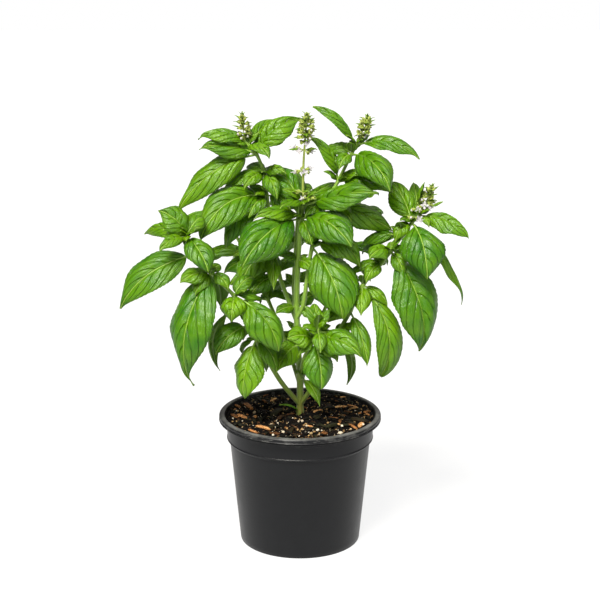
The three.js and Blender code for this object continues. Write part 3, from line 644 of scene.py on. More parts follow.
# Each row: node name, radius at foot and top, and its nodes as [place above the datum, leaves].
# A leaf: tip above the datum, arch height, turn to the front in degrees, width, petiole's share.
STEMS = [
    ["main_stem", 3.4, 2.1, [
      [[0, 0, -33], []],
      [[0, 0, 4], [[-19, -14, 16, 2, 0, 7, 0.18]]],
      [[0, 0, 36], [[18, -34, 20, 7, 20, 11, 0.3]]],
      [[-2, 0, 67], [[-21, -38, 55, 6, 10, 25, 0.18], [16, 4, 27, 8, 0, 16, 0.18]]],
      [[-3, 0, 103], [[-22, -14, 102, 3, 30, 14, 0.18], [17, 10, 113, 4, 30, 16, 0.18]]],
      [[-2, 0, 147], [[-18, -10, 154, 3, 30, 15, 0.18], [18, 30, 132, 4, 0, 17, 0.18]]],
      [[1, 0, 186], [[-51, -46, 152, 11, 32, 44, 0.18], [45, -44, 171, 10, 28, 37, 0.18]]],
      [[2, 0, 197], [[-31, 42, 228, 7, 25, 31, 0.18], [66, -26, 216, 3, 35, 32, 0.3],
        [-18, -30, 202, 5, 10, 16, 0.18], [34, 32, 213, 4, 20, 16, 0.18]]],
    ]],
    ["left_upper_stem", 2.3, 1.3, [
      [[-3, 0, 90], []],
      [[-19, 10, 131], [[-71, 14, 133, 13, 30, 32, 0.18], [-4, 40, 135, 8, 0, 18, 0.18]]],
      [[-23, 14, 153], [[-54, -10, 125, 9, 20, 30, 0.18], [-24, -26, 127, 6, 0, 14, 0.18]]],
      [[-30, 18, 203], [[-90, -18, 171, 15, 45, 38, 0.18], [-68, 6, 157, 9, 25, 30, 0.18]]],
      [[-32, 18, 223], [[-20, -8, 204, 6, 0, 18, 0.18], [-50, 46, 224, 5, 20, 15, 0.18],
        [-72, 22, 202, 8, 20, 24, 0.18]]],
      [[-39, 18, 241], [[-110, 2, 194, 10, 40, 33, 0.18], [1, 34, 271, 7, 25, 32, 0.18]]],
      [[-46, 18, 249], [[-92, 16, 256, 8, 15, 28, 0.18], [-26, -4, 242, 5, 0, 21, 0.18],
        [-18, 62, 265, 6, 20, 17, 0.18]]],
    ]],
    ["right_upper_stem", 2.4, 1.3, [
      [[-3, 0, 93], []],
      [[3, -6, 107], []],
      [[6, -8, 130], []],
      [[11, -6, 161], [[38, -44, 104, 9, 22, 46, 0.18], [56, -20, 145, 13, 30, 29, 0.18]]],
      [[23, 8, 197], [[85, 4, 174, 4, 40, 28, 0.18]]],
      [[34, 14, 217], [[6, 20, 258, 8, 10, 21, 0.18], [84, -8, 212, 5, 25, 25, 0.18]]],
      [[46, 12, 242], [[79, -36, 218, 10, 20, 32, 0.18], [26, 38, 245, 4, 15, 25, 0.18]]],
      [[50, 9, 251], [[12, 14, 287, 5, 10, 20, 0.18], [107, -8, 243, 8, 22, 25, 0.18]]],
    ]],
    ["left_lower_stem", 2.6, 1.4, [
      [[0, 0, 10], []],
      [[-19, -12, 39], []],
      [[-39, -24, 80], [[-51, -42, 30, 8, 0, 34, 0.18], [-30, 8, 41, 5, 0, 17, 0.18]]],
      [[-46, -28, 95], [[-75, -46, 73, 5, 40, 24, 0.18], [-52, -14, 77, 3, 0, 12, 0.18]]],
      [[-53, -32, 112], [[-76, -14, 46, 17, 15, 23, 0.25]]],
      [[-58, -34, 123], [[-17, -58, 79, 9, 25, 36, 0.28], [-60, -52, 104, 6, 0, 25, 0.1]]],
      [[-78, -36, 145], [[-97, -56, 44, 19, 8, 48, 0.08], [-71, -8, 106, 8, 0, 21, 0.18],
        [-70, -4, 144, 3, 30, 11, 0.18], [-105, -54, 141, 4, 30, 20, 0.18]]],
      [[-90, -36, 162], [[-160, -52, 117, 10, 42, 36, 0.18]]],
      [[-99, -36, 177], [[-124, -34, 201, 5, 35, 31, 0.14], [-79, -62, 152, 5, 10, 27, 0.1],
        [-122, -60, 171, 4, 25, 15, 0.18], [-141, -8, 175, 6, 25, 20, 0.18],
        [-84, -16, 192, 5, 20, 20, 0.18]]],
    ]],
    ["right_lower_stem", 2.5, 1.3, [
      [[0, 0, 10], []],
      [[13, -8, 34], []],
      [[34, -14, 82], [[45, -4, 30, 10, 0, 14, 0.45]]],
      [[45, -16, 104], [[61, -44, 61, 5, 0, 19, 0.18]]],
      [[56, -16, 128], [[54, -40, 107, 3, 0, 17, 0.18], [73, -30, 44, 19, 20, 28, 0.18]]],
      [[73, -12, 148], [[42, 4, 125, 8, 10, 23, 0.18], [59, 26, 126, 6, 10, 24, 0.18]]],
      [[81, -10, 158], [[109, -30, 69, 14, 20, 50, 0.18], [61, -34, 158, 5, 30, 20, 0.18],
        [101, 14, 142, 5, 20, 18, 0.18]]],
      [[91, -6, 171], [[88, -20, 189, 2, 0, 11, 0.18], [56, 26, 148, 6, 20, 22, 0.18]]],
      [[100, -4, 183], [[112, -42, 140, 11, 5, 42, 0.18], [151, 16, 102, 7.5, 30, 22, 0.3],
        [83, 22, 217, 4, 25, 26, 0.18]]],
      [[106, -3, 189], [[151, -18, 173, 6, 25, 26, 0.18], [115, -18, 182, 3, 0, 10, 0.18],
        [103, 30, 215, 2, 0, 13, 0.18]]],
    ]],
    ["front_shoot", 1.8, 1.0, [
      [[0, 0, 40], []],
      [[4, -16, 62], []],
      [[13, -36, 83], [[-11, -50, 89, 4, 45, 24, 0.18], [54, -62, 76, 8, 35, 31, 0.18],
        [20, -56, 43, 5, 0, 30, 0.15]]],
      [[16, -42, 93], [[18, -62, 79, 4, 0, 14, 0.18], [50, -32, 63, 7, 20, 22, 0.18],
        [24, -40, 106, 3, 0, 15, 0.18], [12, -26, 115, 4, 0, 16, 0.18]]],
    ]],
    ["back_left_stem", 2.2, 1.2, [
      [[0, 0, 29], []],
      [[-12, 26, 59], [[-38, 46, 31, 7, 0, 22, 0.18], [9, 54, 42, 7, 0, 24, 0.18]]],
      [[-30, 50, 97], [[-67, 74, 69, 9, 0, 30, 0.18], [-6, 88, 80, 9, 0, 30, 0.18]]],
      [[-50, 66, 136], [[-96, 98, 117, 11, 0, 34, 0.18], [-34, 110, 147, 10, 0, 30, 0.18]]],
      [[-66, 73, 163], [[-112, 70, 171, 8, 0, 28, 0.18], [-46, 116, 143, 9, 0, 28, 0.18]]],
      [[-74, 76, 178], [[-94, 110, 158, 6, 0, 22, 0.18], [-64, 98, 188, 5, 0, 20, 0.18],
        [-86, 68, 190, 4, 0, 14, 0.18]]],
    ]],
    ["back_right_stem", 2.2, 1.2, [
      [[0, 0, 22], []],
      [[6, 24, 47], []],
      [[12, 36, 65], [[36, 56, 38, 7, 0, 24, 0.18], [28, 74, 52, 7, 0, 22, 0.18]]],
      [[28, 54, 99], [[6, 96, 100, 9, 0, 28, 0.18], [63, 84, 81, 9, 0, 28, 0.18]]],
      [[42, 76, 138], [[21, 124, 140, 9, 0, 30, 0.18], [87, 104, 119, 10, 0, 32, 0.18]]],
      [[51, 88, 168], [[78, 126, 161, 8, 0, 30, 0.18], [34, 118, 173, 7, 0, 26, 0.18]]],
      [[57, 92, 183], [[76, 102, 188, 5, 0, 20, 0.18], [43, 110, 188, 5, 0, 18, 0.18],
        [62, 86, 199, 3, 0, 12, 0.18]]],
    ]],
    ["back_stem", 2.2, 1.2, [
      [[0, 0, 40], []],
      [[-3, 28, 71], [[-22, 60, 44, 7, 0, 22, 0.18], [2, 70, 46, 7, 0, 20, 0.18]]],
      [[-6, 44, 111], [[-24, 90, 91, 9, 0, 30, 0.18], [24, 80, 109, 9, 0, 30, 0.18]]],
      [[-4, 55, 150], [[-14, 114, 126, 10, 0, 30, 0.18], [22, 100, 150, 10, 0, 28, 0.18]]],
      [[-2, 61, 178], [[-29, 92, 181, 7, 0, 26, 0.18], [27, 92, 177, 7, 0, 24, 0.18]]],
      [[-1, 64, 194], [[-10, 100, 178, 5, 0, 20, 0.18], [10, 80, 200, 5, 0, 18, 0.18],
        [-2, 68, 210, 3, 0, 12, 0.18]]],
    ]],
]
# More leaves, which the solids leave out: node name, then rows of the place's index in that node's
# list, and then the same values as above.
FILLING_LEAVES = {
    "main_stem": [
        [5, 12, -22, 142, 4, 30, 15, 0.12], [6, -42, -20, 190, 8, 25, 22, 0.1],
        [6, 10, -26, 168, 4, 20, 16, 0.1], [7, -15, -10, 215, 4, 25, 13, 0.1],
        [7, 15, -12, 213, 4, 25, 14, 0.1], [7, 3, -20, 204, 3, 20, 11, 0.1],
        [4, 20, -12, 92, 4, 20, 15, 0.1], [3, -22, -8, 66, 4, 10, 15, 0.1],
        [3, 20, -16, 84, 4, 20, 15, 0.1],
    ],
    "left_upper_stem": [
        [5, -90, 6, 249, 5, 45, 25, 0.1], [4, -50, -4, 214, 5, 25, 17, 0.1],
        [4, -12, 6, 226, 5, 20, 17, 0.1], [3, -46, -6, 188, 5, 25, 19, 0.1],
        [3, -8, 4, 192, 6, 25, 20, 0.1], [2, -46, 30, 162, 6, 20, 22, 0.1],
        [1, -46, -8, 114, 6, 25, 22, 0.1], [1, -36, -6, 142, 5, 25, 16, 0.1],
        [1, -64, -2, 126, 8, 25, 22, 0.25], [2, -62, 6, 149, 6, 25, 20, 0.2],
    ],
    "right_upper_stem": [
        [5, 60, 2, 226, 5, 25, 18, 0.1], [6, 34, -6, 232, 4, 20, 15, 0.1],
        [4, 46, -12, 186, 5, 30, 19, 0.1], [4, 4, -10, 190, 5, 20, 16, 0.1],
        [4, 48, 24, 206, 5, 20, 18, 0.1], [2, 28, -22, 106, 5, 20, 19, 0.1],
        [2, 32, 4, 122, 5, 20, 20, 0.1],
    ],
    "left_lower_stem": [
        [5, -34, -14, 112, 5, 20, 21, 0.1], [5, -40, -20, 138, 5, 20, 18, 0.1],
        [4, -36, -44, 100, 5, 25, 17, 0.1], [3, -26, -30, 96, 5, 20, 17, 0.1],
        [2, -20, -38, 53, 6, 10, 20, 0.1], [2, -54, -10, 64, 5, 15, 17, 0.1],
        [6, -92, -50, 128, 4, 20, 17, 0.1], [6, -62, -48, 132, 4, 20, 15, 0.1],
        [8, -104, -46, 186, 2, 20, 8, 0.1], [8, -94, -48, 184, 2, 20, 8, 0.1],
        [8, -99, -52, 178, 2, 20, 8, 0.1],
    ],
    "right_lower_stem": [
        [4, 80, -24, 110, 5, 20, 16, 0.1], [3, 24, -26, 97, 5, 20, 18, 0.1],
        [2, 12, -24, 80, 4, 20, 15, 0.1], [2, 52, -26, 93, 4, 20, 15, 0.1],
        [5, 58, -28, 134, 4, 20, 16, 0.1], [6, 92, -26, 140, 4, 20, 16, 0.1],
        [8, 84, -16, 168, 5, 20, 17, 0.1], [4, 36, -6, 110, 5, 20, 19, 0.1],
        [7, 54, 12, 160, 5, 25, 19, 0.2], [6, 62, 4, 127, 6, 20, 20, 0.2],
        [9, 109, -6, 221, 2, 20, 12, 0.35], [9, 127, -8, 204, 1, 20, 5, 0.5],
    ],
    "front_shoot": [
        [2, -2, -46, 72, 3, 20, 14, 0.12], [2, 34, -46, 66, 4, 20, 17, 0.12],
        [3, 2, -54, 100, 3, 20, 13, 0.12], [3, 4, -36, 116, 3, 20, 13, 0.1],
        [3, 28, -40, 115, 3, 20, 14, 0.1], [3, 17, -50, 112, 2, 20, 11, 0.1],
    ],
}
# In the axil of each longer leaf stand two young ones, of these lengths, spread to both sides and
# raised by these angles in degrees, of a width and an arch that are shares of their length.
LONG_LEAF = 34
AXIL_LENGTHS = (11, 22)
AXIL_SPREAD = (20, 60)
AXIL_RISE = (5, 55)
AXIL_WIDTHS = (0.45, 0.6)
AXIL_ARCH = 0.14
AXIL_TURN = 20
AXIL_PETIOLE = 0.12
# Petioles are drawn at this share of their length in the solids, because young leaves crowd them.
PETIOLE_SHOWN = 0.62
NECK = 6
# Cork on the stems gives way to green between these heights.
CORK_HEIGHTS = (115, 190)
STEM_SUNK = 12
STEM_SIDES = 20
RINGS_PER_SPAN = 14
# The stems are drawn slimmer than in the solids, and swell at each node over this reach along them.
MAIN_GIRTH = 0.93
BRANCH_GIRTH = 0.84
SWELL = 0.22
SWELL_REACH = 2.6
SQUARENESS = 0.08
PETIOLE_SIDES = 10
PETIOLE_RINGS = 12
# A petiole runs on under its blade by this share of the leaf.
PETIOLE_OVERLAP = 0.12
# Petiole radius by the leaf's length: leaves up to each length, radius.
PETIOLE_RADII = [[26, 0.5], [42, 0.75], [9999, 0.95]]
# How far a blade's upper face leans from upright, and the reach under which a leaf counts as upright.
LEAN = 0.3
UPRIGHT_REACH = 4


def unit(v):
    """v / |v| along the last axis."""
    return v / np.maximum(np.linalg.norm(v, axis=-1, keepdims=True), 1e-9)


def above_datum(place):
    """A place given above the plant's datum, as a place above the table."""
    return np.array(place, float) + [0, 0, DATUM_HEIGHT]


def stem_route(nodes):
    """The nodes' places, and a neck that goes straight on past the last."""
    places = np.array([above_datum(node[0]) for node in nodes])
    return np.concatenate([places, [places[-1] + NECK * unit(places[-1] - places[-2])]])


def smooth_curve(nodes, share):
    """Uniform Catmull-Rom curve, on each span (a + bu + cu^2 + du^3) / 2 of the four nodes around it."""
    ends = np.concatenate([[2 * nodes[0] - nodes[1]], nodes, [2 * nodes[-1] - nodes[-2]]])
    at = np.clip(share, 0, 1) * (len(nodes) - 1)
    k = np.minimum(np.floor(at).astype(int), len(nodes) - 2)
    u = (at - k)[:, None]
    p0, p1, p2, p3 = ends[k], ends[k + 1], ends[k + 2], ends[k + 3]
    a, b, c, d = 2 * p1, p2 - p0, 2 * p0 - 5 * p1 + 4 * p2 - p3, 3 * p1 - p0 - 3 * p2 + p3
    return (a + b * u + c * u**2 + d * u**3) / 2


def rod(path, radius, sides, square=0.0):
    """Rings of a rod on a path: path + radius (1 + square cos 4a) (side cos a + front sin a)."""
    along = unit(np.gradient(path, axis=0))
    axis = np.eye(3)[np.argmin(np.abs(along.mean(0)))]
    side = unit(axis - (along @ axis)[:, None] * along)
    front = np.cross(along, side)
    a = np.linspace(0, 2 * np.pi, sides, endpoint=False)[None, :, None]
    swell = np.asarray(radius)[:, None, None] * (1 + square * np.cos(4 * a))
    return path[:, None] + swell * (side[:, None] * np.cos(a) + front[:, None] * np.sin(a))


def arch_direction(foot, tip):
    """Square to the chord: up, leant outwards where the leaf hangs and inwards where it rises."""
    chord = unit(tip - foot)
    outward = (tip - foot) * [1, 1, 0]
    if np.linalg.norm(outward) < UPRIGHT_REACH:
        outward = foot * [1, 1, 0]
    lift = np.array([0, 0, 1.0]) + (LEAN if chord[2] < 0 else -LEAN) * unit(outward)
    return unit(lift - (lift @ chord) * chord)


def midrib(foot, tip, arch, t):
    """Quadratic curve through foot and tip, whose middle stands `arch` off the chord."""
    bend = (foot + tip) / 2 + 2 * arch * arch_direction(foot, tip)
    t = t[:, None]
    return (1 - t) ** 2 * foot + 2 * t * (1 - t) * bend + t**2 * tip


def heading_of(angle, rise):
    """The unit vector at an angle round Z and a rise above level: (cos a cos e, sin a cos e, sin e)."""
    return np.array([np.cos(angle) * np.cos(rise), np.sin(angle) * np.cos(rise), np.sin(rise)])


def leaves_of(stem, name, nodes):
    """All leaves of a stem, its young and filling ones too: foot, tip, arch, turn, width, petiole's share."""
    draw = np.random.default_rng(40 + stem)
    leaves = []
    for place, rows in nodes:
        for x, y, z, arch, turn, width, share in rows:
            foot, tip = above_datum(place), above_datum((x, y, z))
            leaves.append((foot, tip, arch, turn, width, PETIOLE_SHOWN * share))
            length = np.linalg.norm(tip - foot)
            if length < LONG_LEAF:
                continue
            heading = np.arctan2(tip[1] - foot[1], tip[0] - foot[0])
            for side in (-1, 1):
                angle = heading + side * np.radians(draw.uniform(*AXIL_SPREAD))
                rise = np.radians(draw.uniform(*AXIL_RISE))
                reach = draw.uniform(*AXIL_LENGTHS) * min(1, 0.5 + length / 130)
                young_tip = foot + reach * heading_of(angle, rise)
                young_width = draw.uniform(*AXIL_WIDTHS) * reach
                leaves.append((foot, young_tip, AXIL_ARCH * reach, AXIL_TURN, young_width, AXIL_PETIOLE))
    for index, x, y, z, arch, turn, width, share in FILLING_LEAVES.get(name, []):
        leaves.append((above_datum(nodes[index][0]), above_datum((x, y, z)), arch, turn, width, share))
    return leaves


# The skin of a soft stem: waxy green, streaked along its length, and brown and corky near the soil.
# The streaks are 1 mm wide and 11 mm long.
green_stem, tree = new_material("basil_stem_skin")
place = add_node(tree, "TexCoord").outputs["Object"]
height = add_node(tree, "SeparateXYZ", {0: place}).outputs["Z"]
age = add_node(
    tree,
    "MapRange",
    {
        "Value": height,
        "From Min": CORK_HEIGHTS[0] * MM,
        "From Max": CORK_HEIGHTS[1] * MM,
        "To Min": 1.0,
        "To Max": 0.0,
    },
).outputs[0]
streak_map = add_node(tree, "Mapping", {"Vector": place, "Scale": (900.0, 900.0, 90.0)}).outputs[0]
streaks = add_node(tree, "TexNoise", {"Vector": streak_map, "Scale": 1.0, "Detail": 4.0}).outputs[0]
fresh = add_node(
    tree, "Mix", {0: streaks, 6: linear("#5a8018"), 7: linear("#93b545")}, data_type="RGBA"
).outputs[2]
woody = add_node(
    tree, "Mix", {0: streaks, 6: linear("#4a3417"), 7: linear("#75692f")}, data_type="RGBA"
).outputs[2]
bark_share = add_node(tree, "Math", {0: age, 1: streaks}, operation="MULTIPLY").outputs[0]
bark_share = add_node(tree, "MapRange", {"Value": bark_share, "From Min": 0.1, "From Max": 0.6}).outputs[0]
skin_colour = add_node(tree, "Mix", {0: bark_share, 6: fresh, 7: woody}, data_type="RGBA").outputs[2]
stem_bump = add_node(tree, "Bump", {"Height": streaks, "Strength": 0.5, "Distance": 0.0003})
stem_face = add_node(
    tree,
    "BsdfPrincipled",
    {
        "Base Color": skin_colour,
        "Roughness": 0.5,
        "Normal": stem_bump.outputs[0],
        "Sheen Weight": 0.25,
        "Sheen Roughness": 0.4,
        "Subsurface Weight": 0.15,
        "Subsurface Radius": (0.6, 0.9, 0.25),
        "Subsurface Scale": 0.001,
    },
)
show(tree, stem_face.outputs[0])

for stem, (name, foot_radius, top_radius, nodes) in enumerate(STEMS):
    route = stem_route(nodes)
    shown = BRANCH_GIRTH
    if name == "main_stem":
        shown = MAIN_GIRTH
        route[0] = [0, 0, SOIL_HEIGHT - STEM_SUNK]
    share = np.linspace(0, 1, RINGS_PER_SPAN * (len(route) - 1))
    path = smooth_curve(route, share)
    radius = foot_radius + (top_radius - foot_radius) * share
    for place, (_, rows) in zip(route[1:], nodes[1:]):
        if rows:
            from_node = np.linalg.norm(path - place, axis=1)
            radius = radius * (1 + SWELL * np.exp(-((from_node / SWELL_REACH) ** 2)))
    skins = [capped_rings(rod(path, radius * shown, STEM_SIDES, SQUARENESS))]
    for foot, tip, arch, _, _, share in leaves_of(stem, name, nodes):
        length = np.linalg.norm(tip - foot)
        petiole_radius = next(radius for limit, radius in PETIOLE_RADII if length < limit)
        girth = petiole_radius * (1.15 - 0.5 * np.linspace(0, 1, PETIOLE_RINGS) ** 1.5)
        stalk = midrib(foot, tip, arch, np.linspace(0, share + PETIOLE_OVERLAP, PETIOLE_RINGS))
        stalk = stalk - 0.25 * girth[:, None] * arch_direction(foot, tip)
        skins.append(capped_rings(rod(stalk, girth, PETIOLE_SIDES)))
    make_piece(name + "_wood", skins, [green_stem], name)

# Leaves: ovate basil blades 0.35 mm thick, cut with fine teeth, puffed up between six or seven
# side veins, rolled down at the edges and drawn out to a tip. Glossy and bright above, paler and
# matt below; light shines through them.
LEAF_THICKNESS = 0.35
TOOTH_DEPTH = 0.045
# Leaves of an outline of their own: the tip above the datum, then `point` and `low` for ovate().
SHAPED_LEAVES = np.array(
    [
        [-51, -42, 30, 0.0, 0.95],
        [20, -56, 43, 0.1, 0.98],
        [73, -30, 44, 0.0, 1.05],
        [-76, -14, 46, 0.3, 0.9],
        [-97, -56, 44, 1.6, 0.74],
        [109, -30, 69, 0.3, 0.86],
        [-160, -52, 117, 0.5, 0.8],
    ]
)
# Rows and columns of a blade's grid, for leaves up to each length.
GRIDS = [[26, 22, 9], [42, 32, 11], [9999, 52, 19]]
# Dark veins, on the upper face a painted shade in the sunken veins, show most on the high leaves, as
# the quilting does: heights, and the veins' share there.
VEIN_CONTRAST_HEIGHTS = (170, 300)
VEIN_CONTRAST_SHARES = (0.1, 0.5)


def ovate(s, point, low):
    """Half width of a blade along its length s, from 0 to 1: sin(pi s^low)^(0.7 + point s^3)."""
    return np.sin(np.pi * s**low) ** (0.7 + point * s**3)


def blade(foot, tip, arch, turn, width, share, rng):
    """A blade's grid of points, its vein phase and its mm across.

    A point is midrib(s) + side x + out (dome + puff - roll - groove + ripple + sway - drop). Side veins lie
    where the phase n (s - 0.42 |c| - 0.22 |c|^4) is whole, for c across from -1 to 1, so that they sweep
    forward beside the margin. Each half is a long dome, sin(pi |c|^0.7), and the strip between two veins
    is puffed by |sin(pi phase)|^0.65, each by its own amount, less towards tip and margin. Teeth nick the
    half width.
    """
    length = np.linalg.norm(tip - foot)
    _, rows, columns = next(g for g in GRIDS if length < g[0])
    s = np.linspace(0.004, 0.996, rows)
    c = np.linspace(-1, 1, columns)[None, :]
    t = share + (1 - share) * s
    centre = midrib(foot, tip, arch, t)
    along = unit(np.gradient(centre, axis=0))
    lift = arch_direction(foot, tip)
    out = unit(lift - (along @ lift)[:, None] * along)
    roll = np.radians(turn if tip[0] >= foot[0] else -turn)
    twist = roll + np.radians(rng.uniform(-25, 25)) * (s - 0.3)
    cos, sin = np.cos(twist)[:, None], np.sin(twist)[:, None]
    out = out * cos + np.cross(along, out) * sin
    side = np.cross(along, out)
    teeth = 7 + length / 8
    nick = TOOTH_DEPTH * (1 - np.mod(s * teeth, 1)) * np.clip(s / 0.15, 0, 1)
    point, low = rng.uniform(0.1, 0.6), rng.uniform(0.74, 0.88)
    shaped = np.linalg.norm(above_datum(SHAPED_LEAVES[:, :3]) - tip, axis=1) < 1
    if shaped.any():
        point, low = SHAPED_LEAVES[shaped][0, 3:]
    half = width / 2 * ovate(s, point, low) * (1 - nick)
    lean = 1 + 0.07 * rng.uniform(-1, 1) * c
    across = half[:, None] * c * lean
    veins = 3 + min(2.2, length / 36)
    s = s[:, None]
    reach = np.abs(c)
    beat = rng.uniform(0, 2 * np.pi, 4)
    stray = 0.4 * c * np.sin(beat[2]) + 0.16 * np.sin(7 * s + beat[3])
    phase = veins * (s - 0.42 * reach - 0.22 * reach**4) + stray
    strength = rng.uniform(0.45, 1.55, (2, 20))[(c > 0).astype(int), np.floor(phase).astype(int) + 8]
    strength = strength * np.clip((tip[2] - 80) / 200, 0.4, 1)
    dome = (0.17 + 0.08 * np.sin(beat[2:3])) * half[:, None] * np.sin(np.pi * reach**0.7)
    fade = np.clip(1.15 - s, 0, 1) * np.sin(np.pi * reach**0.75) * np.clip(phase + 2, 0, 1)
    puff = 0.16 * half[:, None] * strength * np.abs(np.sin(np.pi * phase)) ** 0.65 * fade
    rolled = rng.uniform(0.12, 0.4) * half[:, None] * reach**1.8
    groove = min(1.0, 0.04 * width) * np.exp(-((across / 1.5) ** 2))
    ripple = 0.035 * width * reach**3 * np.sin(2 * np.pi * (1.9 + 0.7 * np.sign(c)) * s + beat[0])
    sway = 0.015 * length * np.sin(2 * np.pi * s + beat[1]) * s
    drop = 0.03 * length * np.clip((s - 0.8) / 0.2, 0, 1) ** 2
    rise = dome + puff - rolled - groove + ripple + (sway - drop)
    points = centre[:, None] + side[:, None] * across[..., None] + out[:, None] * rise[..., None]
    return points, phase, across


# A leaf's upper face is waxy, so it is glossy, with sunken veins whose dark colour is painted shade;
# the underside is matt and paler, with raised veins. Blotches are 14 mm and the finest net of veins
# 1.6 mm; light shines through both.
def leaf_material(name, shade, bright, vein_colour, rib_colour, glow_colour, rough, glow, raised):
    """One face of a leaf: its greens, its veins, rib and light passed through, roughness and share passed."""
    material, tree = new_material(name)
    coordinates = add_node(tree, "TexCoord")
    place = coordinates.outputs["Object"]
    growth = add_node(tree, "SeparateXYZ", {0: coordinates.outputs["UV"]})
    tone = add_node(tree, "Attribute", attribute_name="tone").outputs["Fac"]
    blotch = add_node(
        tree, "TexNoise", {"Vector": place, "Scale": 70.0, "Detail": 4.0, "Roughness": 0.6}
    ).outputs[0]
    blotch = add_node(
        tree, "MapRange", {"Value": blotch, "From Min": 0.3, "From Max": 0.7, "To Min": -0.26, "To Max": 0.26}
    ).outputs[0]
    mixed = add_node(tree, "Math", {0: tone, 1: blotch}, operation="ADD", use_clamp=True).outputs[0]
    colour = add_node(
        tree, "Mix", {0: mixed, 6: linear(shade), 7: linear(bright)}, data_type="RGBA"
    ).outputs[2]
    from_vein = add_node(tree, "Math", {0: growth.outputs["X"], 1: 0.5}, operation="PINGPONG").outputs[0]
    vein = add_node(
        tree, "MapRange", {"Value": from_vein, "From Max": 0.09, "To Min": 1.0, "To Max": 0.0}
    ).outputs[0]
    from_rib = add_node(tree, "Math", {0: growth.outputs["Y"]}, operation="ABSOLUTE").outputs[0]
    rib = add_node(
        tree,
        "MapRange",
        {"Value": from_rib, "From Min": 0.2, "From Max": 0.75, "To Min": 0.85, "To Max": 0.0},
    ).outputs[0]
    height = add_node(tree, "SeparateXYZ", {0: place}).outputs["Z"]
    # How strongly the vein colour is laid on, by height; on the upper face it is painted shade in the sunken
    # veins.
    quilted = add_node(
        tree,
        "MapRange",
        {
            "Value": height,
            "From Min": VEIN_CONTRAST_HEIGHTS[0] * MM,
            "From Max": VEIN_CONTRAST_HEIGHTS[1] * MM,
            "To Min": VEIN_CONTRAST_SHARES[0],
            "To Max": VEIN_CONTRAST_SHARES[1],
        },
    ).outputs[0]
    vein_share = add_node(tree, "Math", {0: vein, 1: quilted}, operation="MULTIPLY").outputs[0]
    # Upper face: dark vein colour as painted shade in the vein grooves. Underside: the veins' own paler
    # green.
    colour = add_node(
        tree, "Mix", {0: vein_share, 6: colour, 7: linear(vein_colour)}, data_type="RGBA"
    ).outputs[2]
    colour = add_node(tree, "Mix", {0: rib, 6: colour, 7: linear(rib_colour)}, data_type="RGBA").outputs[2]
    relief = add_node(tree, "Math", {0: vein, 1: rib}, operation="MAXIMUM").outputs[0]
    crinkle_map = add_node(
        tree, "Mapping", {"Vector": coordinates.outputs["UV"], "Scale": (2.2, 0.26, 1.0)}
    ).outputs[0]
    crinkle = add_node(
        tree, "TexNoise", {"Vector": crinkle_map, "Scale": 1.0, "Detail": 3.0, "Roughness": 0.55}
    ).outputs[0]
    net = add_node(
        tree, "TexVoronoi", {"Vector": place, "Scale": 620.0}, feature="DISTANCE_TO_EDGE"
    ).outputs["Distance"]
    net = add_node(tree, "MapRange", {"Value": net, "From Min": 0.0, "From Max": 0.35}).outputs[0]
    bump = add_node(tree, "Bump", {"Height": net, "Strength": 0.35, "Distance": 0.0003})
    bump = add_node(
        tree, "Bump", {"Height": crinkle, "Strength": 0.8, "Distance": 0.0016, "Normal": bump.outputs[0]}
    )
    bump = add_node(
        tree,
        "Bump",
        {"Height": relief, "Strength": 1.0, "Distance": 0.0008, "Normal": bump.outputs[0]},
        invert=not raised,
    )
    sheen = add_node(
        tree,
        "MapRange",
        {"Value": crinkle, "From Min": 0.3, "From Max": 0.7, "To Min": rough - 0.06, "To Max": rough + 0.08},
    ).outputs[0]
    face = add_node(
        tree,
        "BsdfPrincipled",
        {
            "Base Color": colour,
            "Roughness": sheen,
            "Normal": bump.outputs[0],
            "IOR": 1.45,
            "Specular IOR Level": 0.55,
        },
    )
    through = add_node(
        tree, "Mix", {0: rib, 6: linear(glow_colour), 7: linear(rib_colour)}, data_type="RGBA"
    ).outputs[2]
    lit = add_node(tree, "BsdfTranslucent", {"Color": through, "Normal": bump.outputs[0]})
    show(tree, add_node(tree, "MixShader", {0: glow, 1: face.outputs[0], 2: lit.outputs[0]}).outputs[0])
    return material


# The colours of each face: shaded green, bright green, veins (on the upper face a dark green painted
# as shade in the sunken veins), rib, and light passed through.
upper_colours = ["#2f6a00", "#78a500", "#163c00", "#a4c850", "#8cba00"]
under_colours = ["#52801f", "#789f34", "#8eaa5e", "#9fb878", "#8cba00"]
leaf_upper = leaf_material("basil_leaf_upper_waxy", *upper_colours, rough=0.33, glow=0.3, raised=False)
leaf_under = leaf_material("basil_leaf_underside_matt", *under_colours, rough=0.55, glow=0.32, raised=True)


def blade_piece(name, blades, tones, node):
    """A piece of blades from blade(), each of one tone, thickened downwards from their upper faces."""
    skins = [(grid.reshape(-1, 3), grid_faces(*grid.shape[:2], False).tolist()) for grid, _, _ in blades]
    growth = np.stack([np.concatenate([one[k].ravel() for one in blades]) for k in (1, 2)], 1)
    tone = np.repeat(tones, [len(points) for points, _ in skins])
    piece = make_piece(name, skins, [leaf_upper, leaf_under], node, growth, tone)
    body = piece.modifiers.new("blade_thickness", "SOLIDIFY")
    body.thickness = LEAF_THICKNESS * MM
    body.offset = -1
    body.material_offset = 1


rng = np.random.default_rng(21)
for stem, (name, _, _, nodes) in enumerate(STEMS):
    blades, tones = [], []
    for foot, tip, arch, turn, width, share in leaves_of(stem, name, nodes):
        blades.append(blade(foot, tip, arch, turn, width, share, rng))
        youth = np.clip(1.1 - width / 45, 0, 1)
        tones.append(0.28 + 0.35 * youth + rng.uniform(-0.18, 0.18))
    blade_piece(name + "_leaves", blades, tones, name)

